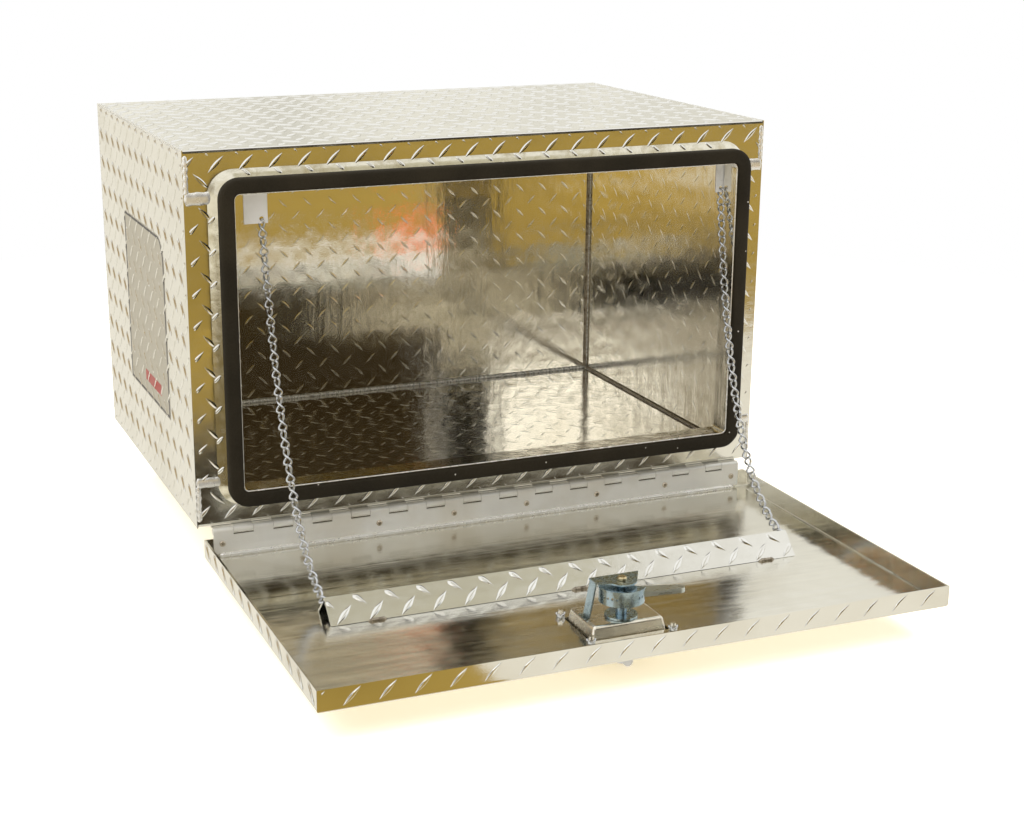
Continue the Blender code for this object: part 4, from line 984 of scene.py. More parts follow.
@dataclass
class BoxShell:
    """The folded body of the box with its two ends, its tread, its seams and its sticker."""

    wrap_half: float = 0.3052
    edge: float = 0.0045
    flange_inner: float = 0.2685
    flange_low: float = 0.0365
    flange_top: float = 0.3315
    seam_low: float = 0.0460
    wrap_pitch: Span = (0.0283, 0.0308)
    leaf_depth: float = 0.0280
    sticker_y: Span = (0.0970, 0.2830)
    sticker_z: Span = (0.0830, 0.2680)
    sticker_corners: Span = (0.0280, 0.0080)
    sticker_points: tuple[int, int] = (70, 90)
    sticker_sheet: float = 0.00012
    sticker_cling: float = 0.90
    inner_weld: Point = (0.3036, 0.4028, 0.3640)
    inner_low: float = 0.0036
    inner_front: float = 0.0040
    weld_inset: float = 0.0026
    weld_y: Span = (0.004, 0.402)
    weld_z: Span = (0.004, 0.364)
    under_start: float = 0.030
    under_z: float = 0.0014
    flange_weld_x: Span = (0.3062, 0.2660)
    flange_weld_y: float = 0.0002
    corner_weld: Span = (0.3038, 0.0016)

    def squeeze(self, points: np.ndarray) -> np.ndarray:
        """Thin the outer skin of the top, the back and the ends, to leave room for the lugs.

        A depth t below the outer face becomes SKIN + t (SHEET - SKIN) / SHEET while t is less
        than SHEET, and stays as it is below that.

        Args:
            points: points in the box's frame.
        Returns:
            The moved points.
        """
        share = (SHEET - SKIN) / SHEET
        out = points.copy()
        for axis, face, way in ((2, BOX_HEIGHT, 1), (1, BOX_DEPTH, 1), (0, BOX_HALF, 1),
                                (0, -BOX_HALF, -1)):
            depth = (face - out[:, axis]) * way
            near = depth < SHEET
            out[near, axis] = face - way * (SKIN + depth[near] * share)
        return out

    @staticmethod
    def inside(middles: np.ndarray) -> np.ndarray:
        """Tell which faces lie on the inner side of the sheets, short of the outer half.

        Args:
            middles: the faces' middles in the box's frame.
        Returns:
            True for each face that does.
        """
        half, end, margin = SHEET / 2, 0.0014, 0.0015
        return ((np.abs(middles[:, 0]) < BOX_HALF - end)
                & (middles[:, 1] > half) & (middles[:, 1] < BOX_DEPTH - margin)
                & (middles[:, 2] > half) & (middles[:, 2] < BOX_HEIGHT - margin))

    def panels(self) -> dict[str, TreadPanel]:
        """Lay out every outer face of the box that carries the tread.

        Returns:
            The faces by name.
        """
        e, wrap, inner, top = self.edge, self.wrap_pitch, self.flange_inner, self.flange_top
        wide, deep, tall = 2 * (self.wrap_half - SKIN), BOX_DEPTH - 2 * e, BOX_HEIGHT - 2 * e
        left, side = -wide / 2, BOX_HALF - SKIN
        post_low, post = self.seam_low + 0.001, side - e - inner
        post_tall = BOX_HEIGHT - 2 * self.seam_low - 0.002
        return {
            "top": TreadPanel((left, e, BOX_HEIGHT - SKIN), RIGHT, BACK, UP, wide, deep,
                              start=(0.010, 0.004), pitch=wrap),
            "left_end": TreadPanel((-side, e, e), BACK, UP, LEFT, deep, tall,
                                   start=(0.004, 0.010), mirror=True),
            "right_end": TreadPanel((side, e, e), BACK, UP, RIGHT, deep, tall,
                                    start=(0.004, 0.010)),
            "back": TreadPanel((left, BOX_DEPTH - SKIN, e), RIGHT, UP, BACK, wide, tall,
                               pitch=wrap),
            "bottom": TreadPanel((left, self.leaf_depth, 0), RIGHT, BACK, DOWN, wide,
                                 deep - self.leaf_depth + 0.002, pitch=wrap),
            "front_top": TreadPanel((left, 0, top), RIGHT, UP, FRONT, wide, BOX_HEIGHT - e - top,
                                    start=(0.001, 0.0215), pitch=wrap),
            "front_low": TreadPanel((left, 0, e), RIGHT, UP, FRONT, wide, self.flange_low - e,
                                    start=(0.004, 0.010), pitch=wrap),
            "front_left": TreadPanel((-side + e, 0, post_low), RIGHT, UP, FRONT, post, post_tall,
                                     start=(0.0013, 0.0000)),
            "front_right": TreadPanel((inner, 0, post_low), RIGHT, UP, FRONT, post, post_tall,
                                      start=(0.008, 0.004)),
        }

    def sticker(self, tread: Tread, panel: TreadPanel) -> bpy.types.Object:
        """Build the sticker, a sheet whose height follows the tread below it.

        Near its top the side's inset is r minus the root of r^2 less the depth into the corner
        squared, so that each upper corner is a quarter circle.

        Args:
            tread: the lugs below it.
            panel: the face that it is stuck to.
        Returns:
            The sticker.
        """
        rows, columns = self.sticker_points
        share = np.linspace(0, 1, rows)[:, None]
        z = np.linspace(*self.sticker_z, columns)[None, :]
        first, last = self.sticker_y
        inset = [r - np.sqrt(np.clip(r ** 2 - np.clip(r - (self.sticker_z[1] - z), 0, r) ** 2,
                                     0, None)) for r in self.sticker_corners]
        y = first + inset[0] + share * (last - inset[1] - first - inset[0])
        share, y, z = np.broadcast_arrays(share, y, z)
        under = tread.height_at(panel, y - self.edge, z - self.edge)
        lift = np.minimum(self.sticker_sheet + self.sticker_cling * under, SKIN)
        x = -(BOX_HALF - SKIN) - lift
        points = np.stack([x, y, z], -1)
        made = build("side_sticker", points, grid_faces(rows, columns), STICKER, "box")
        flat = np.stack([1 - share, (z - z.min()) / np.ptp(z)], -1)
        layer = made.data.uv_layers.new(name="UVMap")
        corner = np.empty(len(made.data.loops), dtype=np.int32)
        made.data.loops.foreach_get("vertex_index", corner)
        layer.data.foreach_set("uv", flat.reshape(-1, 2)[corner].astype(np.float32).ravel())
        return made

    @staticmethod
    def inner_marks(tread: Tread) -> None:
        """Build the faint marks that the rolled lugs leave on the sheets' plain side.

        Args:
            tread: the lugs of the outer side.
        """
        faint = Tread(half_length=0.72 * tread.half_length, half_width=0.75 * tread.half_width,
                      rise=0.00010, sink=0.00004)
        hem, low, sill = 0.006, 0.007, 0.030
        half, back, roof = BOX_HALF - SHEET, BOX_DEPTH - SHEET, BOX_HEIGHT - SHEET
        wide, deep, tall = 2 * (half - hem), back - 2 * hem, roof - 2 * hem
        faint.lay_on("marks_inside", [
            TreadPanel((hem - half, back, low), RIGHT, UP, FRONT, wide, tall),
            TreadPanel((half, hem, low), BACK, UP, LEFT, deep, tall, mirror=True),
            TreadPanel((-half, hem, low), BACK, UP, RIGHT, deep, tall),
            TreadPanel((hem - half, hem, roof), RIGHT, BACK, DOWN, wide, deep),
            TreadPanel((hem - half, sill, SHEET), RIGHT, BACK, UP, wide, deep + hem - sill),
        ], "box")

    def inner_beads(self) -> list[WeldBead]:
        """Lay out the welds in the inner corners.

        Returns:
            One weld along the back and two on each side.
        """
        half, back, top = self.inner_weld
        front, low = self.inner_front, self.inner_low
        seams = [
            ("floor_back", (-half, back, low), (half, back, low), 0.0018, WELD),
            ("back_right", (half, back, low), (half, back, top), 0.0014, BURNT_WELD),
            ("back_left", (-half, back, low), (-half, back, top), 0.0014, BURNT_WELD),
            ("floor_right", (half, front, low), (half, back, low), 0.0011, BURNT_WELD),
            ("floor_left", (-half, front, low), (-half, back, low), 0.0014, BURNT_WELD),
        ]
        return [WeldBead(f"weld_{name}", (start, end), radius, finish)
                for name, start, end, radius, finish in seams]

    def outer_beads(self, side: str, way: int) -> list[WeldBead]:
        """Lay out the welds along the outer edges of one end.

        Args:
            side: left or right.
            way: -1 for the left and 1 for the right.
        Returns:
            Three thin welds, two ground flat on the flange and two round its corners.
        """
        rim, low = way * (BOX_HALF - self.weld_inset), self.under_z
        roof, rear = BOX_HEIGHT - self.weld_inset, BOX_DEPTH - self.weld_inset
        (near, far), (foot, head) = self.weld_y, self.weld_z
        thin = [
            ("top", (rim, near, roof), (rim, far, roof), 0.0018),
            ("rear", (rim, rear, foot), (rim, rear, head), 0.0018),
            ("under", (rim, self.under_start, low), (rim, far, low), 0.0016),
        ]
        made = [WeldBead(f"weld_{name}_{side}", (start, end), radius)
                for name, start, end, radius in thin]
        outer, inner = (way * x for x in self.flange_weld_x)
        y = self.flange_weld_y
        for name, z, radius in (("upper", BOX_HEIGHT - self.seam_low, 0.0062),
                                ("lower", self.seam_low, 0.0050)):
            made.append(WeldBead(f"weld_flange_{name}_{side}", ((outer, y, z), (inner, y, z)),
                                 radius, SEAM, ripple=0.011, spread=(1.0, 0.30, 1.0),
                                 sides=16, calm=0.3, taper=0.0008))
        x, y = way * self.corner_weld[0], self.corner_weld[1]
        for name, high, low in (("upper", 0.3635, 0.3230), ("lower", 0.0450, 0.0050)):
            made.append(WeldBead(f"weld_corner_{name}_{side}", ((x, y, high), (x, y, low)),
                                 0.0029, SEAM, ripple=0.007, sides=12, calm=0.5))
        return made

    def make(self, tread: Tread) -> None:
        """Build and dress the shell.

        Args:
            tread: the lugs of its sheet.
        """
        for node in ("body_wrap", "end_panel_left", "end_panel_right"):
            redress(node, OUTSIDE, "box", self.squeeze, inner=INSIDE,
                    within=self.inside)
        panels = self.panels()
        for name, panel in panels.items():
            tread.lay_on(f"tread_{name}", [panel], "box")
        self.inner_marks(tread)
        self.sticker(tread, panels["left_end"])
        beads = self.inner_beads() + self.outer_beads("left", -1) + self.outer_beads("right", 1)
        for bead in beads:
            bead.build()
        LOG.info("box shell: %d tread panels, %d welds, sticker", len(panels), len(beads))


@dataclass
class DoorSeal:
    """The bulb of rubber that is pushed over the lip of the doorway.

    A point of the seal is the corner's centre plus (corner - w + d) times the unit vector at the
    turn round the doorway, where w is half the band. d and the depth y run round a superellipse,
    |d / w|^4 + |y / h|^4 = 1. Two slow sines along the seal leave shallow hollows in its front.
    """

    half_width: float = 0.2792
    low: float = 0.0248
    top: float = 0.3428
    corner: float = 0.0205
    band: float = 0.0148
    front: float = -0.0274
    back: float = -0.0150
    arc_points: int = 12
    run_points: int = 40
    profile_points: int = 28
    hollow: float = 0.00022
    hollow_waves: tuple[Span, Span] = ((0.9, 0.0), (0.37, 1.0))

    def ring(self, name: str, path: np.ndarray, way: np.ndarray, reach: tuple[float, ...],
             deep: tuple[float, ...], finish: MetalFinish) -> None:
        """Build one bent strip of metal that runs round the doorway.

        Args:
            name: the strip's name.
            path: the corner centre of each ring of the seal.
            way: the turn of each ring round the doorway.
            reach: how far the strip's lines lie outside the seal's outer edge.
            deep: their depths.
            finish: the metal.
        """
        far = self.corner + np.array(reach)
        points = np.stack([path[:, 0, None] + np.cos(way)[:, None] * far,
                           np.broadcast_to(np.array(deep), (len(path), len(deep))),
                           path[:, 1, None] + np.sin(way)[:, None] * far], -1)
        build(name, points, grid_faces(len(path), len(deep), close_rows=True), finish, "box")

    def lip(self, path: np.ndarray, way: np.ndarray) -> None:
        """Build the lip's bright edge inside the seal and its rolled root outside it.

        Args:
            path: the corner centre of each ring of the seal.
            way: the turn of each ring round the doorway.
        """
        inner = -self.band
        self.ring("doorway_lip_edge", path, way,
                  reach=(inner + 0.0008, inner - 0.0004, inner - 0.0009),
                  deep=(-0.0225, -0.0231, -0.0222), finish=SEAM)
        self.ring("doorway_lip_sleeve", path, way, reach=(inner - 0.0009, inner - 0.0009),
                  deep=(-0.0222, 0.0020), finish=INSIDE)
        # The root's olive-gold colour is painted reflection.
        self.ring("doorway_lip_root", path, way, reach=(0.0052, 0.0022, -0.0010, -0.0060),
                  deep=(-0.0002, -0.0017, -0.0035, -0.0080), finish=ROOT_GOLD_REFLECTION)
        self.root_tread()

    def root_tread(self) -> None:
        """Lay a row of small lugs along each straight side of the lip's root.

        The rows lie on the root's slope. Out and back are its unit direction, 33 back for every
        62 out.
        """
        out, back = 0.883, 0.470
        slope, inset, deep = 0.0070, 0.0010, -0.0035
        run = 2 * (self.half_width - self.corner)
        tall = self.top - self.low - 2 * self.corner
        right, high, low = self.half_width, self.top, self.low
        sides = [
            ((-run / 2, deep, high - inset), RIGHT, (0, back, out), (0, -out, back), run),
            ((run / 2, deep, low + inset), LEFT, (0, back, -out), (0, -out, -back), run),
            ((inset - right, deep, low + self.corner), UP, (-out, back, 0), (-back, -out, 0),
             tall),
            ((right - inset, deep, high - self.corner), DOWN, (out, back, 0), (back, -out, 0),
             tall),
        ]
        small = Tread(half_length=0.0095, half_width=0.0019, rise=0.0007)
        small.lay_on("tread_lip_root",
                     [TreadPanel(corner, along, up, facing, length, slope, lay=Lay.FIRST,
                                 start=(0.012, slope / 2), mirror=True)
                      for corner, along, up, facing, length in sides], "box")

    def course(self) -> tuple[np.ndarray, np.ndarray]:
        """Run round the doorway, a quarter turn at each corner and a straight way between.

        Returns:
            The corner centre that each ring belongs to, in x and z, and the ring's turn.
        """
        turn = np.linspace(0, np.pi / 2, self.arc_points)
        share = np.linspace(0, 1, self.run_points)[1:-1]
        x = self.half_width - self.corner
        high, low = self.top - self.corner, self.low + self.corner
        middles = [(x, high), (-x, high), (-x, low), (x, low)]
        path, way = [], []
        for k, (cx, cz) in enumerate(middles):
            angle = turn + k * np.pi / 2
            path.append(np.stack([np.full_like(angle, cx), np.full_like(angle, cz)], -1))
            way.append(angle)
            nx, nz = middles[(k + 1) % 4]
            path.append(np.stack([cx + share * (nx - cx), cz + share * (nz - cz)], -1))
            way.append(np.full_like(share, (k + 1) * np.pi / 2))
        return np.concatenate(path), np.concatenate(way)

    def make(self) -> None:
        """Build the seal and the lip that it sits on."""
        path, way = self.course()
        self.lip(path, way)
        lap = np.linspace(0, 2 * np.pi, self.profile_points, endpoint=False)
        shape = np.stack([np.sign(np.cos(lap)) * np.abs(np.cos(lap)) ** 0.5,
                          np.sign(np.sin(lap)) * np.abs(np.sin(lap)) ** 0.5], -1)
        reach = self.corner - self.band / 2 + shape[:, 0] * self.band / 2
        deep = (self.front + self.back) / 2 + shape[:, 1] * (self.back - self.front) / 2
        ring = np.arange(len(path))[:, None]
        waves = sum(np.sin(ring * pace + phase) for pace, phase in self.hollow_waves)
        hollow = np.abs(self.hollow * waves * (shape[:, 1] < 0))
        points = np.stack([path[:, 0, None] + np.cos(way)[:, None] * reach, deep + hollow,
                           path[:, 1, None] + np.sin(way)[:, None] * reach], -1)
        faces = grid_faces(len(path), len(lap), close_rows=True, close_columns=True)
        made = build("seal_bulb", points, faces, RUBBER, "box", recalculate=True)
        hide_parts("door_seal")
        LOG.info("door seal: %d faces", len(faces))


@dataclass
class DoorTray:
    """The folded door with its tread, its stiffener and its welds."""

    side_hem: float = 0.0040
    end_hem: float = 0.0050
    rim_hem: float = 0.0060
    rim_low: float = 0.0035
    rim_high: float = 0.0010
    plate_half: float = 0.052
    plate_y: Span = (0.028, 0.126)
    stiffener_half: float = 0.2380
    ridge_y: float = -0.1895
    ridge_z: float = -0.0094
    ridge_lift: float = 0.0008
    leg: float = 0.0265
    rear_weld: Point = (0.288, -0.0058, -0.0284)
    stitches: tuple[float, ...] = (-0.195, 0.005, 0.205)
    stitch_half: float = 0.009
    stitch_place: Span = (-0.2100, -0.0292)

    def squeeze(self, points: np.ndarray) -> np.ndarray:
        """Thin the outer skin of the front flange, to leave room for the lugs.

        Args:
            points: points in the box's frame.
        Returns:
            The moved points.
        """
        out = points.copy()
        depth = out[:, 1] - DOOR_FRONT
        near = depth < SHEET
        out[near, 1] = DOOR_FRONT + SKIN + depth[near] * (SHEET - SKIN) / SHEET
        return out

    def sheet_tread(self, tread: Tread) -> None:
        """Lay the tread on the door's outer face and on three of its flanges.

        Args:
            tread: the lugs of its sheet.
        """
        half, near = DOOR_HALF - self.side_hem, DOOR_FRONT + self.rim_hem
        deep = DOOR_BACK - DOOR_FRONT - 2 * self.end_hem
        low = DOOR_UNDER + self.rim_low
        tall = DOOR_EDGE - self.rim_high - low
        bare = (half - self.plate_half, self.plate_y[0], half + self.plate_half, self.plate_y[1])
        tread.lay_on("tread_door", [
            TreadPanel((-half, DOOR_FRONT + self.end_hem, DOOR_UNDER), RIGHT, BACK, DOWN,
                       2 * half, deep, bare=bare),
        ], "door")
        tread.lay_on("tread_door_rim", [
            TreadPanel((-half, DOOR_FRONT + SKIN, low), RIGHT, UP, FRONT, 2 * half, tall,
                       start=(0.0255, 0.008)),
            TreadPanel((-DOOR_HALF, near, low), BACK, UP, LEFT, deep, tall,
                       start=(0.010, 0.008)),
            TreadPanel((DOOR_HALF, near, low), BACK, UP, RIGHT, deep, tall,
                       start=(0.010, 0.008)),
        ], "door")

    def stiffener_tread(self) -> None:
        """Lay bolder lugs on the two sloping legs of the stiffener."""
        run, slope = self.stiffener_half, DIAGONAL
        off = self.ridge_lift + self.leg * slope
        low = self.ridge_z - off
        Tread(half_length=0.0126, half_width=0.0029).lay_on("tread_stiffener", [
            TreadPanel((-run, self.ridge_y - off, low), RIGHT, (0, slope, slope),
                       (0, -slope, slope), 2 * run, self.leg, start=(0.014, 0.0085)),
            TreadPanel((-run, self.ridge_y + off, low), RIGHT, (0, -slope, slope),
                       (0, slope, slope), 2 * run, self.leg, start=(0.004, 0.0055)),
        ], "door")

    def make(self, tread: Tread) -> None:
        """Build and dress the door.

        Args:
            tread: the lugs of its sheet.
        """
        redress("door_panel", TRAY, "door", self.squeeze)
        redress("stiffener_angle", OUTSIDE, "door")
        self.sheet_tread(tread)
        self.stiffener_tread()
        half, y, z = self.rear_weld
        WeldBead("weld_door_rear", ((-half, y, z), (half, y, z)), 0.0025, SEAM, "door", Slot.DOOR,
                 ripple=0.019, sides=12, calm=0.35).build()
        y, z = self.stitch_place
        for number, middle in enumerate(self.stitches, start=1):
            ends = ((middle - self.stitch_half, y, z), (middle + self.stitch_half, y, z))
            WeldBead(f"weld_stitch_{number}", ends, 0.0022, BURNT_WELD, "door",
                     Slot.DOOR).build()
        LOG.info("door tray: tread, stiffener and %d stitches", len(self.stitches))


@dataclass
class PianoHinge:
    """The long hinge with its leaves, pin and rivets."""

    rivets: int = 8
    half_length: float = 0.2915
    gap_shade_y: float = -0.0041
    gap_shade_z: Span = (-0.0200, -0.0072)

    def make(self) -> None:
        """Dress the hinge, and put a dark sheet of painted shade behind the gaps between its
        knuckles.
        """
        redress("hinge_leaf_box", LEAF, "box")
        redress("hinge_leaf_door", LEAF, "door")
        repaint("hinge_pin", LEAF)
        # Painted shade: a flat dark sheet behind the knuckles' gaps, so that they look shadowed
        # and do not show the floor.
        half, y, (low, high) = self.half_length, self.gap_shade_y, self.gap_shade_z
        points = np.array([(-half, y, low), (half, y, low), (half, y, high), (-half, y, high)])
        build("hinge_gap_painted_shade", points, [(0, 1, 2, 3)], HINGE_GAP_SHADE, "door")
        for number in range(1, self.rivets + 1):
            redress(f"hinge_rivet_box_{number}", RIVET, "box")
            redress(f"hinge_rivet_door_{number}", RIVET, "door")
        LOG.info("piano hinge: two leaves, pin, %d rivets", 2 * self.rivets)


@dataclass
class DoorChain:
    """One of the two chains, in links of one wire that is bent to two loops square to each other.

    Along a link the wire is at -(p / 2) cos t, where p is the pitch, to its side at w sin 2t and
    out of its plane at d sin t. At a share s of the link's length the side direction has turned
    by 3 s^2 - 2 s^3 of a quarter turn. The links follow a catenary, y = a cosh((x - x0) / a),
    whose length is the chain's.
    """

    side: str
    top_x: float
    foot_x: float
    upper_links: int = 15
    links: int = 23
    pitch: float = 0.01665
    top: Span = (0.0033296, 0.2985)
    foot: Span = (-0.1845395, -0.0157640)
    wire: float = 0.00115
    loop: float = 0.0034
    cross: float = 0.00098
    path_points: int = 44
    sides: int = 6
    bend_range: Span = (0.01, 5.0)
    halvings: int = 80

    def course(self, share: np.ndarray) -> tuple[np.ndarray, np.ndarray]:
        """Follow the catenary, whose a is found by halving.

        Args:
            share: how far down the chain from 0 at the top to 1 at the foot.
        Returns:
            The points and unit directions downwards.
        """
        span = self.top[0] - self.foot[0]
        rise = self.top[1] - self.foot[1]
        length = self.links * self.pitch
        need = math.sqrt(length ** 2 - rise ** 2)
        low, high = self.bend_range
        for _ in range(self.halvings):
            middle = (low + high) / 2
            if 2 * middle * math.sinh(span / (2 * middle)) > need:
                low = middle
            else:
                high = middle
        bend = (low + high) / 2
        lowest = span / 2 - bend * math.atanh(rise / length)
        start = bend * math.sinh(-lowest / bend)
        along = start + (1 - share) * length
        across = lowest + bend * np.arcsinh(along / bend)
        height = bend * np.cosh((across - lowest) / bend)
        base = bend * math.cosh(-lowest / bend)
        y, z = self.foot[0] + across, self.foot[1] + height - base
        x = self.top_x + (self.foot_x - self.top_x) * share
        slope = np.sinh((across - lowest) / bend)
        way = np.stack([np.full_like(slope, (self.foot_x - self.top_x) / length),
                        -1 / np.sqrt(1 + slope ** 2), -slope / np.sqrt(1 + slope ** 2)], -1)
        way /= np.linalg.norm(way, axis=-1, keepdims=True)
        return np.stack([x, y, z], -1), way

    def surface(self) -> tuple[np.ndarray, np.ndarray]:
        """Shape the links.

        Returns:
            The points of every link and the faces of one.
        """
        number = (np.arange(self.links) + 0.5) / self.links
        middle, way = self.course(number)
        length = self.pitch + 2 * self.wire
        t = np.linspace(0, 2 * np.pi, self.path_points, endpoint=False)
        along = -(length / 2 - self.wire) * np.cos(t)
        sideways = self.loop * np.sin(2 * t)
        out = self.cross * np.sin(t)
        share = along / length + 0.5
        turn = np.pi / 2 * (3 * share ** 2 - 2 * share ** 3)
        square = np.cross(way, RIGHT)
        square /= np.linalg.norm(square, axis=-1, keepdims=True)
        flat = np.cross(square, way)
        lateral = np.cos(turn)[:, None] * square[:, None] + np.sin(turn)[:, None] * flat[:, None]
        normal = -np.sin(turn)[:, None] * square[:, None] + np.cos(turn)[:, None] * flat[:, None]
        path = (middle[:, None] + along[:, None] * way[:, None]
                + sideways[:, None] * lateral + out[:, None] * normal)
        return closed_tube(path, normal, self.wire, self.sides)

    def make(self) -> None:
        """Build the chain's two runs."""
        points, faces = self.surface()
        size = self.path_points * self.sides
        for run, first, last in (("upper", 0, self.upper_links),
                                 ("lower", self.upper_links, self.links)):
            count = last - first
            made = build(f"links_{run}_{self.side}", points[first:last],
                         repeat_faces(faces, size, count), CHAIN_ZINC,
                         f"{run}_chain_{self.side}", recalculate=True)
            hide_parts(f"chain_{run}_{self.side}")
        LOG.info("chain %s: %d links", self.side, self.links)


@dataclass
class ChainBrackets:
    """The two small plates behind the flange that the chains hang from."""

    sides: tuple[str, str] = ("left", "right")
    sharp: float = 20.0

    def make(self) -> None:
        """Dress the brackets."""
        for side in self.sides:
            redress(f"chain_bracket_{side}", SATIN, "box", sharp=self.sharp)
        LOG.info("chain brackets: %s and %s", *self.sides)


@dataclass
class CrownNut:
    """One press-on nut with five prongs that point up.

    At height share h and turn a its radius is r(0.80 + h(0.12 + 0.08 cos 5a)), and its height is
    h H (0.78 + 0.22 cos 5a). The inner wall is the same surface at 0.62 of the radius, and goes
    down again to h = 0.2.
    """

    number: int
    prongs: int = 5
    base: float = 0.80
    flare: Span = (0.12, 0.08)
    crown: Span = (0.78, 0.22)
    wall: float = 0.62
    inner_foot: float = 0.2
    outer_rows: int = 5
    inner_rows: int = 4
    turn_points: int = 40

    def make(self) -> None:
        """Build the nut in the place of the CAD one."""
        low, high = (np.array(corner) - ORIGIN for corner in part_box(f"latch_nut_{self.number}"))
        middle, radius = (low + high) / 2, (high[0] - low[0]) / 2
        turn = np.linspace(0, 2 * np.pi, self.turn_points, endpoint=False)
        share = np.concatenate([np.linspace(0, 1, self.outer_rows),
                                np.linspace(1, self.inner_foot, self.inner_rows)])[:, None]
        width = np.concatenate([np.ones(self.outer_rows),
                                np.full(self.inner_rows, self.wall)])[:, None]
        prongs = np.cos(self.prongs * turn)
        reach = radius * width * (self.base + share * (self.flare[0] + self.flare[1] * prongs))
        rise = share * (high[2] - low[2]) * (self.crown[0] + self.crown[1] * prongs)
        points = np.stack([middle[0] + reach * np.cos(turn), middle[1] + reach * np.sin(turn),
                           low[2] + rise], -1)
        made = build(f"crown_nut_{self.number}", points, capped_faces(len(share), len(turn)),
                     CHAIN_ZINC, "door", recalculate=True)
        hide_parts(f"latch_nut_{self.number}")


@dataclass
class PaddleLatch:
    """The latch: its pan, studs, bridge, turning works and folding tee handle."""

    nuts: int = 4

    def make(self) -> None:
        """Dress the latch."""
        redress("latch_dish", PAN, "door")
        redress("latch_gasket", RUBBER, "door")
        for number in range(1, self.nuts + 1):
            CrownNut(number).make()
        redress("latch_bridge", BLUE_ZINC, "door")
        for node in ("latch_shaft", "latch_disc", "latch_cam"):
            redress(node, BLUE_ZINC, "latch_rotor")
        redress("latch_arm", ARM_ZINC, "latch_rotor")
        redress("latch_screw", BRASS, "latch_rotor")
        redress("handle_pin", HANDLE, "latch_rotor")
        redress("tee_handle", HANDLE, "handle")
        redress("lock_plug", BRASS, "lock_plug")
        LOG.info("latch: pan, %d nuts, bridge, works and handle", self.nuts)


# Studio

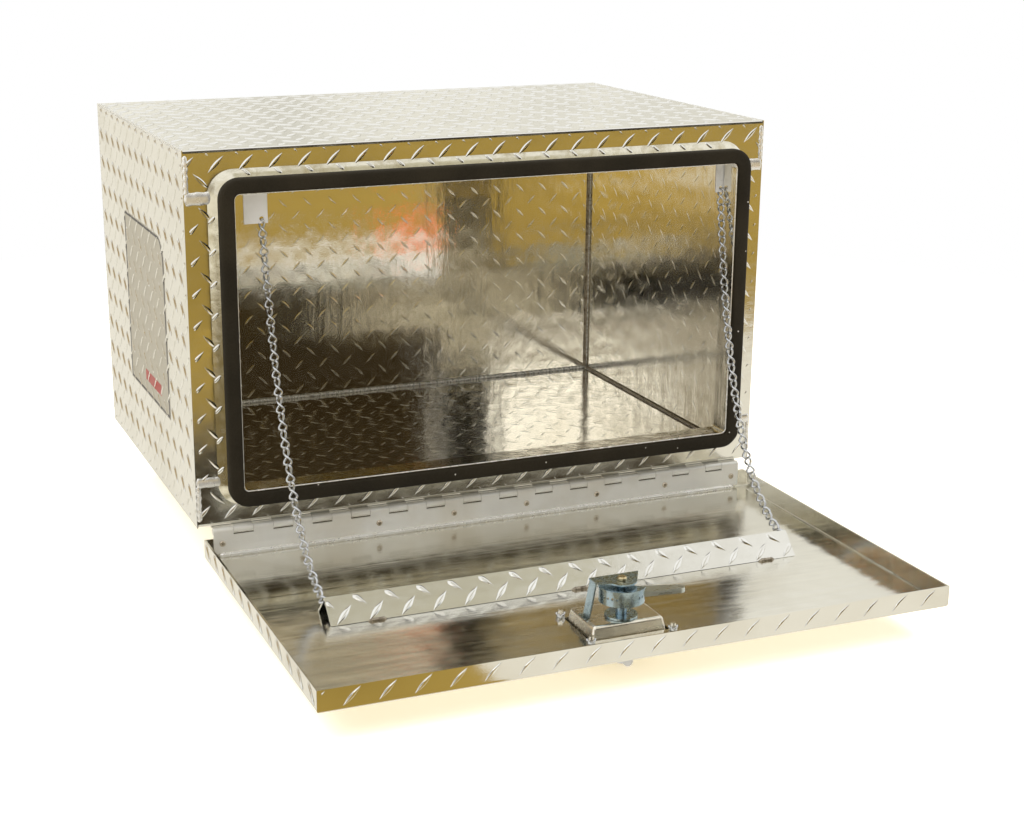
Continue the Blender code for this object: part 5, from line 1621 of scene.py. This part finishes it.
@dataclass
class Studio:
    """The camera, the lamps, the floor and the cards that the metal mirrors."""

    eye: Point = (-0.67230, -1.80065, 0.22710)
    ahead: Point = (0.35306, 0.89155, -0.28369)
    upward: Point = (0.10408, 0.26391, 0.95891)
    lens: float = 62.33
    shift: Span = (0.0578, 0.0052)
    floor_z: float = -0.4325
    floor_reach: float = 40.0
    sky: Colour = (1.0, 0.97, 0.92)
    sky_strength: float = 0.55
    aim: Point = (0.0, -0.2, -0.3)

    def camera(self) -> None:
        """Make the camera at the photograph's viewing angle."""
        data = bpy.data.cameras.new("studio_camera")
        data.lens = self.lens
        data.sensor_width = 36.0
        data.shift_x, data.shift_y = self.shift
        data.clip_start, data.clip_end = 0.05, 100.0
        made = bpy.data.objects.new("studio_camera", data)
        back = -Vector(self.ahead).normalized()
        up = Vector(self.upward).normalized()
        side = up.cross(back).normalized()
        up = back.cross(side)
        turn = Matrix((side, up, back)).transposed().to_4x4()
        made.matrix_world = Matrix.Translation(self.eye) @ turn
        bpy.context.scene.collection.objects.link(made)
        bpy.context.scene.camera = made

    @staticmethod
    def sheet(name: str, corners: list[Point], finish: Finish) -> bpy.types.Object:
        """Put a flat four-cornered sheet into the studio.

        Args:
            name: the sheet's name.
            corners: its four corners in the world.
            finish: its finish.
        Returns:
            The sheet.
        """
        mesh = bpy.data.meshes.new(name)
        mesh.from_pydata(corners, [], [(0, 1, 2, 3)])
        mesh.materials.append(finish.material())
        made = bpy.data.objects.new(name, mesh)
        bpy.context.scene.collection.objects.link(made)
        return made

    def card(self, name: str, corners: list[Point], finish: CardFinish) -> None:
        """Put up a card that only mirrored rays meet.

        Args:
            name: the card's name.
            corners: its four corners in the world.
            finish: its colour.
        """
        made = self.sheet(name, corners, finish)
        made.visible_camera = False
        made.visible_diffuse = False
        made.visible_shadow = False
        made.visible_transmission = False

    def level_card(self, name: str, x: Span, y: Span, z: float, finish: CardFinish) -> None:
        """Lay a card level.

        Args:
            name: the card's name.
            x: its left and right.
            y: its front and back.
            z: its height.
            finish: its colour.
        """
        (left, right), (near, far) = x, y
        self.card(name, [(left, near, z), (right, near, z), (right, far, z), (left, far, z)],
                  finish)

    def upright_card(self, name: str, x: Span, y: float, z: Span, finish: CardFinish) -> None:
        """Stand a card up across the room.

        Args:
            name: the card's name.
            x: its left and right.
            y: how far back it stands.
            z: its lower and upper edge.
            finish: its colour.
        """
        (left, right), (low, high) = x, z
        self.card(name, [(left, y, low), (right, y, low), (right, y, high), (left, y, high)],
                  finish)

    def cards(self) -> None:
        """Put up every card: on the floor, at the room's front, back and left, and above."""
        low, lower, wall = self.floor_z + 0.006, self.floor_z + 0.004, -3.95
        self.level_card("gold_ground", (-0.9, 2.6), (-3.9, -1.06), lower, GOLD_CARD)
        self.card("orange_ground", [(0.49, -1.10, low), (0.72, -1.14, low), (0.66, -1.01, low),
                                    (0.47, -1.01, low)], ORANGE_CARD)
        self.level_card("gold_near_ground", (0.05, 1.10), (-1.06, -0.97), lower, GOLD_CARD)
        self.level_card("gold_strip", (-0.9, 0.05), (-1.06, -0.78), lower, GOLD_CARD)
        self.upright_card("gold_wall", (-0.9, 4.5), wall, (-0.43, 0.15), GOLD_CARD)
        self.upright_card("dark_room", (-0.25, 4.5), wall, (0.15, 1.75), DARK_CARD)
        self.upright_card("dim_room", (-0.25, 4.5), wall, (1.75, 3.4), DIM_CARD)
        self.upright_card("brown_front", (-2.05, -0.25), wall, (0.15, 0.92), BROWN_CARD)
        self.upright_card("window", (-1.97, -1.15), wall + 0.05, (0.80, 1.45), WINDOW_CARD)
        self.upright_card("grey_front", (-4.5, -2.05), wall, (0.1, 1.6), GREY_CARD)
        self.level_card("gold_near_door", (-0.45, -0.12), (-0.78, -0.58), lower, GOLD_CARD)
        self.upright_card("pale_back", (-2.5, 5.5), 4.2, (0.0, 2.3), CREAM_CARD)
        self.level_card("pale_above", (0.20, 1.35), (-1.95, -0.95), 2.1, PALE_CARD)
        self.level_card("gold_left", (-1.6, -0.42), (-1.10, -0.25), lower, LEFT_CARD)
        self.card("tan_left", [(-3.0, 0.2, -0.43), (-3.0, 3.4, -0.43), (-3.0, 3.4, 1.6),
                               (-3.0, 0.2, 1.6)], TAN_CARD)

    def floor(self) -> None:
        """Lay the plain pale floor."""
        reach, z = self.floor_reach, self.floor_z
        self.sheet("studio_floor", [(-reach, -reach, z), (reach, -reach, z), (reach, reach, z),
                                    (-reach, reach, z)], FLOOR)

    def lamp(self, name: str, place: Point, size: float, power: float, colour: Colour) -> None:
        """Hang one soft lamp that is aimed at the box.

        Args:
            name: the lamp's name.
            place: where it hangs in the world.
            size: the width of its face.
            power: its power.
            colour: its colour.
        """
        data = bpy.data.lights.new(name, "AREA")
        data.shape = "SQUARE"
        data.size = size
        data.energy = power
        data.color = colour
        made = bpy.data.objects.new(name, data)
        turn = (Vector(self.aim) - Vector(place)).to_track_quat("-Z", "Y")
        made.matrix_world = Matrix.Translation(place) @ turn.to_matrix().to_4x4()
        made.visible_glossy = False
        bpy.context.scene.collection.objects.link(made)

    def world(self) -> None:
        """Set the surroundings: white where they are seen or mirrored, soft grey as light."""
        world = bpy.data.worlds.new("studio_world")
        world.use_nodes = True
        bpy.context.scene.world = world
        graph = Graph(world.node_tree)
        seen = graph.seen(graph.node("LightPath").outputs)
        soft = graph.node("Background", Color=rgba(self.sky), Strength=self.sky_strength)
        white = graph.node("Background", Color=rgba(WHITE), Strength=1.0)
        graph.node("OutputWorld", Surface=graph.mix(seen, soft.outputs[0], white.outputs[0]))

    def make(self) -> None:
        """Set up the whole studio."""
        self.camera()
        self.world()
        self.floor()
        self.cards()
        self.lamp("key_lamp", (1.3, 0.9, 2.0), size=1.4, power=46.0, colour=(1.0, 0.98, 0.95))
        self.lamp("fill_lamp", (-1.6, -1.6, 1.7), size=1.6, power=36.0, colour=(1.0, 0.99, 0.98))
        bpy.context.scene.view_settings.view_transform = "Standard"
        LOG.info("studio: camera, two lamps, floor and cards")


def main() -> None:
    """Build the studio and every piece of the tool box in order."""
    logging.basicConfig(level=logging.INFO, format="%(message)s")
    Studio().make()
    tread = Tread()
    BoxShell().make(tread)
    DoorSeal().make()
    DoorTray().make(tread)
    PianoHinge().make()
    DoorChain("left", -0.2320, -0.2371).make()
    DoorChain("right", 0.2605, 0.2371).make()
    ChainBrackets().make()
    PaddleLatch().make()


if __name__ == "__main__":
    main()
